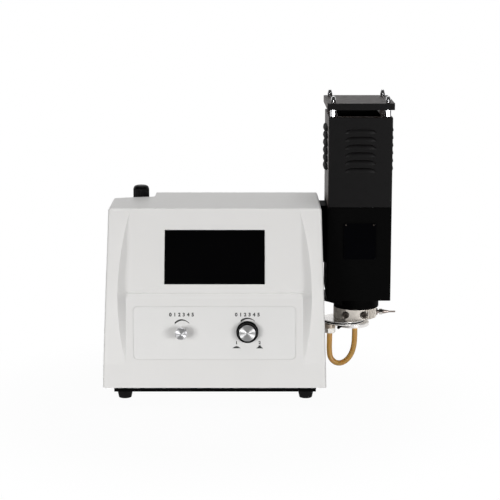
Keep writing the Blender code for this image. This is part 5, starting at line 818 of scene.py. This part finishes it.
def make_feet_and_screws():
    foot = [(0.0, 0.0), (0.0098, 0.0, 0.0008), (0.0128, 0.0145, 0.0006), (0.0123, 0.0150, 0.0003),
            (0.0, 0.0150)]
    for name, x, y in (("front_left", -0.141, 0.045), ("front_right", 0.141, 0.045),
                       ("rear_left", -0.141, 0.268), ("rear_right", 0.141, 0.268)):
        piece("rubber_foot_" + name, turned(foot, 64, 4), black_rubber, shift(x, y), "foot_" + name)
    spots = [(side * x, y) for x, y in ((0.061, 0.034), (0.146, 0.105), (0.146, 0.286)) for side in (-1, 1)]
    for index, (x, y) in enumerate(spots, 1):
        screw(f"case_screw_{index}", shift(x, y, 0.0153) @ DOWN, 0.0038, 0.0022, dark_steel)


make_front()
make_screen()
make_control_face()
make_fine_knob()
make_gas_knob()
make_cover()
make_regulator_knob()
make_feet_and_screws()


# Burner tower
SHEET = 0.0015
TOWER_HALF, TOWER_FRONT_Y, TOWER_REAR_Y = 0.04965, 0.087, 0.221
TOWER_LOW_Z, TOWER_SEAM_Z, TOWER_HIGH_Z = 0.1440, 0.293, 0.4332
TOWER_DEPTH, TOWER_CENTRE = TOWER_REAR_Y - TOWER_FRONT_Y, (FLAME_X, (TOWER_FRONT_Y + TOWER_REAR_Y) * HALF)
TOWER_BEND, RIM_ROUND = 0.0018, 0.0009
GAP, SEAM_GAP = 0.0003, 0.0009
WINDOW_SIZE, WINDOW_LOW_Z, WINDOW_LAP, WINDOW_THICK = (0.050, 0.0563), 0.2112, 0.006, 0.0025


def tower_outline(inset):
    return rounded_rectangle(2 * (TOWER_HALF - inset), TOWER_DEPTH - 2 * inset, TOWER_BEND - inset,
                             TOWER_CENTRE, 4)


def make_housing():
    shell = prism(tower_outline(0.0), TOWER_LOW_Z, TOWER_SEAM_Z - SEAM_GAP, RIM_ROUND, 3, (True, False))
    housing = solid("burner_housing", shell)
    carve(housing, prism(tower_outline(SHEET), TOWER_LOW_Z + SHEET, TOWER_SEAM_Z + 0.01))
    low, high = WINDOW_LOW_Z + WINDOW_LAP, WINDOW_LOW_Z + WINDOW_SIZE[1] - WINDOW_LAP
    reach = WINDOW_SIZE[0] * HALF - WINDOW_LAP
    carve(housing, box((-reach, -0.01, low), (reach, 0.01, high)), shift(FLAME_X, TOWER_FRONT_Y))
    carve(housing, prism(circle(0.019, 48), TOWER_LOW_Z - 0.01, TOWER_LOW_Z + 0.01), AT_FLAME)
    beam_hole = prism(circle(TOWER_BEAM_HOLE, 40), -0.01, 0.01)
    carve(housing, beam_hole, shift(FLAME_X - TOWER_HALF, FLAME_Y, BEAM_Z) @ ALONG_X)
    dress(housing, black_deep, "chimney_housing", 35.0)


# Louvres: six pressed hoods a wall, each over its slot
LOUVRE_COUNT, LOUVRE_PITCH, LOUVRE_LOWEST_Z = 6, 0.01214, 0.3474
LOUVRE_HEIGHT, HOOD_SHEET = 0.0076, 0.0008
FACE_LOUVRE, SIDE_LOUVRE = (0.048, 0.003), (0.080, 0.0054)  # length, and how far it stands out
LOUVRE_SIDE_Y = TOWER_FRONT_Y + 0.069
# Each wall's x and y and its quarter turns
LOUVRE_WALLS = (
    (FLAME_X, TOWER_FRONT_Y, 2, FACE_LOUVRE),
    (FLAME_X, TOWER_REAR_Y, 0, FACE_LOUVRE),
    (FLAME_X - TOWER_HALF, LOUVRE_SIDE_Y, 1, SIDE_LOUVRE),
    (FLAME_X + TOWER_HALF, LOUVRE_SIDE_Y, -1, SIDE_LOUVRE),
)


def hood(length, proud):
    """A pressed eyebrow on a wall: local X along, Y out of the wall, Z up; open underneath"""
    sections = []
    for i in range(23):
        t = -1.0 + 2.0 * i / 22
        t = copysign(abs(t) ** 0.62, t)
        swell = max(0.10, (1.0 - abs(t) ** 4.5)) ** 0.55
        section = []
        for sheet in (0.0, HOOD_SHEET):
            row = []
            for k in range(9):
                a = QUARTER * k / 8
                out = (proud - sheet) * swell * cos(a) ** 0.8 if k < 8 else 0.0
                row.append((t * length * HALF, out - 0.0004, (LOUVRE_HEIGHT - sheet) * swell * sin(a)))
            section += row[::-1] if sheet else row
        sections.append(section)
    return skin(sections)


def make_louvred_cover():
    shell = prism(tower_outline(0.0), TOWER_SEAM_Z, TOWER_HIGH_Z, RIM_ROUND, 3, (False, True))
    cover = solid("louvred_hood", shell)
    carve(cover, prism(tower_outline(SHEET), TOWER_SEAM_Z - 0.01, TOWER_HIGH_Z - SHEET))
    flange = 0.016
    opening = rounded_rectangle(2 * (TOWER_HALF - flange), TOWER_DEPTH - 2 * flange, 0.004, TOWER_CENTRE)
    carve(cover, prism(opening, TOWER_HIGH_Z - 0.01, TOWER_HIGH_Z + 0.01))
    slots, hoods = [], {FACE_LOUVRE: [], SIDE_LOUVRE: []}
    for x, y, quarters, louvre in LOUVRE_WALLS:
        reach = louvre[0] * HALF - 0.003
        facing = turn(quarters * QUARTER, "Z")
        for i in range(LOUVRE_COUNT):
            place = shift(x, y, LOUVRE_LOWEST_Z + i * LOUVRE_PITCH) @ facing
            slots.append((box((-reach, -0.004, 0.0004), (reach, 0.002, LOUVRE_HEIGHT * 0.62)), place))
            hoods[louvre].append((hood(*louvre), place))
    carve(cover, merge(*slots))
    dress(cover, black_paint, "louvred_cover", 35.0)
    piece("louvre_hoods", merge(*hoods[FACE_LOUVRE]), black_paint, angle=50.0)
    # The side hoods are pressed from the cover's own sheet but take the darker, duller black, so that they
    # read dark on the side wall: painted shade.
    piece("side_louvre_hoods", merge(*hoods[SIDE_LOUVRE]), black_deep, angle=50.0)


# Lid on four spacers
LID_TOP_Z, LID_RIM, LID_OVERHANG, LID_BEND = 0.455, 0.0102, 0.0024, 0.0024
SPACER_LOW_Z, SPACER_HIGH_Z = 0.4335, 0.4532


def lid_outline(inset):
    return rounded_rectangle(2 * (TOWER_HALF + LID_OVERHANG - inset), TOWER_DEPTH + 0.005 - 2 * inset,
                             LID_BEND - inset, TOWER_CENTRE, 5)


def make_lid():
    sheet = prism(lid_outline(0.0), LID_TOP_Z - LID_RIM, LID_TOP_Z, 0.0010, 3, (False, True))
    lid = solid("folded_lid", sheet)
    carve(lid, prism(lid_outline(SHEET), LID_TOP_Z - 0.02, LID_TOP_Z - SHEET))
    dress(lid, black_paint, "chimney_lid", 35.0)
    spacer = [(0.0026, SPACER_LOW_Z), (0.0050, SPACER_LOW_Z, 0.0004), (0.0050, SPACER_HIGH_Z, 0.0004),
              (0.0026, SPACER_HIGH_Z)]
    dome = [(0.0, 0.0038), (0.0040, 0.0041), (0.0038, 0.0049), (0.0036, 0.0062), (0.0031, 0.0080),
            (0.0022, 0.0096), (0.0012, 0.01035), (0.0, 0.0105)]
    washer = [(0.0, -0.0002), (0.0043, -0.0002), (0.0043, 0.0003), (0.0, 0.0003)]
    reach = TOWER_HALF - 0.0073
    spots = [(FLAME_X + x, y) for x in (-reach, reach) for y in (TOWER_FRONT_Y + 0.010, TOWER_REAR_Y - 0.010)]
    for index, (x, y) in enumerate(spots, 1):
        piece(f"spacer_sleeve_{index}", turned(spacer, 48, closed=True), chrome, shift(x, y),
              f"lid_spacer_{index}")
        nut = merge(hex_nut(0.0044, 0.0, 0.0045, radians(30.0)), lathe(dome, 40), lathe(washer, 40))
        piece(f"cap_nut_{index}", nut, chrome, shift(x, y, LID_TOP_Z + GAP), f"lid_bolt_{index}")


def make_window():
    width, height = WINDOW_SIZE
    place = shift(FLAME_X, TOWER_FRONT_Y - GAP, WINDOW_LOW_Z + height * HALF) @ OUT
    pane = prism(rounded_rectangle(width, height, 0.0015), 0.0, WINDOW_THICK, 0.0004)
    piece("tinted_window", pane, tinted_glass, place, "window_glass")
    for index, side in enumerate((-1, 1), 1):
        spot = shift(side * (width * HALF - 0.0034), height * HALF - 0.0020, WINDOW_THICK)
        screw(f"window_screw_{index}", place @ spot, 0.0014, 0.0008, dark_steel)


# Collar, mixing chamber, flange and drain
COLLAR_HIGH_Z, COLLAR_LOW_Z = 0.1451, 0.1212
FLANGE_PLACE, FLANGE_CAP_PLACE = shift(0.2040, 0.1410), shift(0.2178, 0.1410)
DRAIN_PLACE = shift(HOSE_ROUTE[0][0], HOSE_Y)
CHAMBER_X, CHAMBER_RADIUS, CHAMBER_LOW_Z, CHAMBER_TOP_Z = 0.2234, 0.0346, 0.1048, 0.1217
CLAMP_X, CLAMP_SPREAD, CLAMP_Z, CLAMP_FLAT_Y = 0.2211, 0.0149, 0.1128, 0.1235
RIBS_FROM, RIBS_TO = 294, 354  # degrees round the chamber, from local X
NEBULISER_Z = 0.1118


def make_burner_base():
    collar = [(0.0200, COLLAR_HIGH_Z), (0.0361, COLLAR_HIGH_Z, 0.0006), (0.0361, COLLAR_LOW_Z, 0.0020),
              (0.0200, COLLAR_LOW_Z)]
    piece("black_collar", turned(collar, 96, 5, True), black_deep, AT_FLAME, "burner_collar")
    gusset = [(0.1699, 0.1450), (0.1699, 0.1403), (0.1891, 0.1353), (0.2000, 0.1321), (0.2000, 0.1450)]
    piece("bracket_gusset", prism(gusset, -0.155, -0.106, 0.0004), black_deep, OUT)
    make_chamber()
    # A black ring fills the flange's groove so that the groove shows as a dark line: painted shade, not a
    # seal.
    groove_shade_ring = [(0.0300, 0.1012), (0.0337, 0.1012), (0.0337, 0.1029), (0.0300, 0.1029)]
    piece("flange_groove_shade_ring", turned(groove_shade_ring, 96, 2, True, 0.0003), black_rubber, FLANGE_PLACE)
    flange = [(0.0, 0.0990), (0.0336, 0.0990, 0.0004), (0.0342, 0.1000, 0.0004), (0.0342, 0.1010, 0.0004),
              (0.0306, 0.1011), (0.0306, 0.1030), (0.0342, 0.1031, 0.0003), (0.0342, 0.1045, 0.0005),
              (0.0, 0.1045)]
    cap = [(0.0, 0.0930), (0.0276, 0.0930, 0.0009), (0.0276, 0.0984, 0.0003), (0.0268, 0.0984),
           (0.0268, 0.0992), (0.0, 0.0992)]
    body = merge((turned(flange, 96), FLANGE_PLACE), (turned(cap, 96), FLANGE_CAP_PLACE))
    piece("drain_flange", body, aluminium, stands_for="chamber_flange")
    clip = [(0.1925, 0.0945), (0.1946, 0.0925), (0.2002, 0.0966), (0.2002, 0.0994), (0.1962, 0.0994)]
    piece("flange_clip", prism(fillet(clip, 3, True, 0.0006), -0.1165, -0.1095, 0.0003), black_deep, OUT)


def chamber_outline():
    """A round body with a flat across its front and cooling ribs on its right"""
    points = []
    for i in range(720):
        angle = i * HALF
        r = CHAMBER_RADIUS
        if RIBS_FROM <= angle <= RIBS_TO:
            r -= 0.0030 * (0.5 - 0.5 * cos(radians((angle - RIBS_FROM) * 60.0))) ** 2
        points.append((r * cos(radians(angle)), max(r * sin(radians(angle)), CLAMP_FLAT_Y - FLAME_Y)))
    return points


def make_chamber():
    chamber = solid("ribbed_mixing_chamber", prism(chamber_outline(), CHAMBER_LOW_Z, CHAMBER_TOP_Z),
                    shift(CHAMBER_X, FLAME_Y))
    clamps = [(name, shift(CLAMP_X + side * CLAMP_SPREAD, CLAMP_FLAT_Y, CLAMP_Z) @ OUT)
              for name, side in (("left", -1), ("right", 1))]
    for _, place in clamps:
        carve(chamber, prism(circle(0.0062, 40), -0.0065, 0.02), place)
    slits = (box((0.1928, 0.110, 0.1135), (0.1938, 0.1440, 0.1230)),
             box((0.1880, 0.110, 0.1112), (0.2040, 0.1320, 0.1119)))
    carve(chamber, merge(*slits))
    dress(chamber, cast_aluminium, "mixing_chamber", 30.0)
    head = [(0.0, 0.0020), (0.0043, 0.0020, 0.0008), (0.0043, -0.0063), (0.0, -0.0063)]
    for name, place in clamps:
        bolt = solid("clamp_socket_screw_" + name, turned(head, 48), place)
        carve(bolt, prism(hexagon(0.0024), -0.0012, 0.02), place)
        dress(bolt, dark_steel, "clamp_screw_" + name)


def make_drain_fitting():
    union = [(0.0, 0.0921), (0.0093, 0.0921), (0.0093, 0.0987, 0.0005), (0.0, 0.0987)]
    piece("drain_union", turned(union, 64), aged_steel, DRAIN_PLACE)
    nut = hex_nut(0.0104, 0.0844, 0.0924, radians(12.0))
    piece("drain_union_nut", nut, steel, DRAIN_PLACE, "drain_fitting")


def make_nebuliser():
    """It lies along X, on the chamber's right side"""
    place = shift(CHAMBER_X + CHAMBER_RADIUS, FLAME_Y, NEBULISER_Z) @ ALONG_X
    body = [(0.0, -0.0020), (0.0055, -0.0020), (0.0055, 0.0020, 0.0006), (0.0028, 0.0020, 0.0004),
            (0.0028, 0.0096), (0.0034, 0.0096), (0.0034, 0.0118, 0.0008), (0.0018, 0.0196, 0.0003),
            (0.0014, 0.0200, 0.0002), (0.0014, 0.0306, 0.0002), (0.0, 0.0306)]
    piece("nebuliser_body", turned(body, 48), worn_steel, place, "nebuliser")
    piece("nebuliser_hex_nut", hex_nut(0.0052, 0.0046, 0.0096, radians(30.0)), steel, place, "nebuliser_nut")


make_housing()
make_louvred_cover()
make_lid()
make_window()
make_burner_base()
make_drain_fitting()
make_nebuliser()

# Solids that keep their own shape, with their edges rounded
UNPACKED = TO_PACKED.inverted()
RECORD_SLOT = {entry["node"]: entry["material_slot"] for entry in frame["record"]["subparts"]}


def softened(node_name, width, surface, trim=None):
    source = frame["nodes"][node_name]
    bm = bmesh.new()
    bm.from_mesh(source.data)
    bmesh.ops.remove_doubles(bm, verts=bm.verts, dist=CLOSE)
    bmesh.ops.dissolve_limit(bm, angle_limit=radians(0.5), verts=bm.verts, edges=bm.edges)
    if trim:
        trim(bm)
    item = solid(node_name + "_rounded", bm, UNPACKED)
    soften(item, width, 35.0)
    dress(item, surface, node_name, 35.0, source["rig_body"])


def lower_the_top(bm):
    """The light-tight coupling between case and tower falls away towards its rear"""
    high = max(vert.co.z for vert in bm.verts)
    for vert in bm.verts:
        if vert.co.z > high - 0.002:
            vert.co.z -= 0.0072


softened("optical_coupling", 0.0008, black_deep, lower_the_top)
softened("chimney_bracket", 0.0005, black_paint)
softened("base_pan", 0.0006, black_deep)
softened("optical_block", 0.0008, black_paint)
softened("mains_inlet", 0.0004, black_plastic)
softened("switch_frame", 0.0004, black_plastic)
softened("power_supply", 0.0008, aluminium)
softened("display_module", 0.0005, aluminium)
softened("gas_valve_body", 0.0006, brass)

# Rear panel screws and the power switch, whose printed marks lie on the two halves of its rocker
MARK_SHEET, MARK_CLEARANCE = 0.00006, 0.00002
ON_MARK = box((-0.0003, -0.0016, 0.0), (0.0003, 0.0016, MARK_SHEET))
OFF_MARK = lathe([(0.0010, 0.0), (0.0016, 0.0), (0.0016, MARK_SHEET), (0.0010, MARK_SHEET)], 40, True)


def rocker_mark(name, bm, y, z, lean):
    low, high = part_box("power_rocker")
    face = shift((low.x + high.x) * HALF, y, z) @ turn(lean - QUARTER, "X")
    place = UNPACKED @ face @ shift(0.0, 0.0, MARK_CLEARANCE)
    piece("rocker_mark_" + name, bm, mark_white, place, body="rocker")


def make_rear_screws():
    low, high = (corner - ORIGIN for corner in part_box("rear_panel"))
    inset = 0.009
    spots = [(x, z) for z in (low.z + inset, (low.z + high.z) * HALF, high.z - inset)
             for x in (low.x + inset, high.x - inset)]
    for index, (x, z) in enumerate(spots, 1):
        screw(f"rear_panel_screw_{index}", shift(x, high.y, z) @ ALONG_Y, 0.0030, 0.0016)


make_rear_screws()
softened("power_rocker", 0.0006, black_plastic)
rocker_mark("on", ON_MARK, 0.1565, 0.0792, atan2(0.109, 0.994))
rocker_mark("off", OFF_MARK, 0.1577, 0.0721, atan2(0.204, 0.979))

# Finish of the solids that show themselves
for node_name, slot in RECORD_SLOT.items():
    mesh = frame["nodes"][node_name].data
    mesh.materials.clear()
    mesh.materials.append(SURFACES[slot][0])


# Bench and studio light
def larger(tree, one, two):
    return node(tree, "Math", one, two, operation="MAXIMUM")


def product(tree, one, two):
    return node(tree, "Math", one, two, operation="MULTIPLY")


WHITE_FROM, WHITE_TO, NEAR_WHITE = 0.22, 0.50, 0.965


def make_bench():
    """Seen straight or in metal or glass it is white, a little less so close to the object, so that it
    keeps the shadow there; for all other light it is a plain pale surface"""
    bench = solid("bench", box((-4.0, -0.50, -0.05), (4.0, 4.0, 0.0)))
    surface = finish("bench_white", (0.45, 0.45, 0.45), 0.6, (0.01, 3.0), (0.02, 5.0))
    tree = surface.node_tree
    rays = node(tree, "LightPath").outputs
    direct = larger(tree, rays["Is Camera Ray"], rays["Is Glossy Ray"])
    seen = larger(tree, direct, rays["Is Transmission Ray"])
    place = node(tree, "TexCoord").outputs["Object"]
    length = node(tree, "VectorMath", place, operation="LENGTH").outputs["Value"]
    fade = node(tree, "MapRange", length, interpolation_type="SMOOTHSTEP", From_Min=WHITE_FROM,
                From_Max=WHITE_TO, To_Min=NEAR_WHITE)
    glow = node(tree, "Emission", Strength=1.0)
    mix = node(tree, "MixShader", product(tree, seen, fade), tree.nodes["Principled BSDF"], glow)
    put(tree, tree.nodes["Material Output"].inputs["Surface"], mix)
    bench.data.materials.append(surface)


def soft_light(name, place, aim, width, height, power):
    light = bpy.data.lights.new(name, "AREA")
    light.shape = "RECTANGLE"
    light.size = width
    light.size_y = height
    light.energy = power
    item = add(name, light)
    item.location = Vector(place)
    item.rotation_euler = (Vector(aim) - Vector(place)).to_track_quat("-Z", "Y").to_euler()


def make_room():
    """Pale behind the object and dim where the photographer stands, but white to the camera"""
    world = bpy.data.worlds.new("studio")
    scene.world = world
    world.use_nodes = True
    tree = world.node_tree
    way = node(tree, "SeparateXYZ", node(tree, "TexCoord").outputs["Generated"]).outputs["Y"]
    behind = node(tree, "MapRange", way, interpolation_type="SMOOTHSTEP", From_Min=-0.10, From_Max=0.35)
    level = node(tree, "MapRange", behind, To_Min=0.07, To_Max=0.28)
    surround = node(tree, "Background", (0.85, 0.85, 0.85, 1.0), level)
    white = node(tree, "Background", (1.0, 1.0, 1.0, 1.0), 1.0)
    rays = node(tree, "LightPath").outputs
    mirrored = larger(tree, rays["Is Glossy Ray"], rays["Is Transmission Ray"])
    seen = larger(tree, rays["Is Camera Ray"], product(tree, mirrored, behind))
    pick = node(tree, "MixShader", seen, surround, white)
    put(tree, tree.nodes["World Output"].inputs["Surface"], pick)


make_bench()
soft_light("soft_left", (-1.15, -2.1, 0.34), (0.0, 0.0, 0.2), 0.85, 0.6, 25.7)
soft_light("soft_right", (1.25, -2.1, 0.34), (0.0, 0.0, 0.2), 0.85, 0.6, 24.2)
soft_light("soft_top", (0.0, -0.1, 2.2), (0.0, 0.1, 0.2), 1.6, 1.0, 18.5)
make_room()
scene.view_settings.view_transform = "Standard"
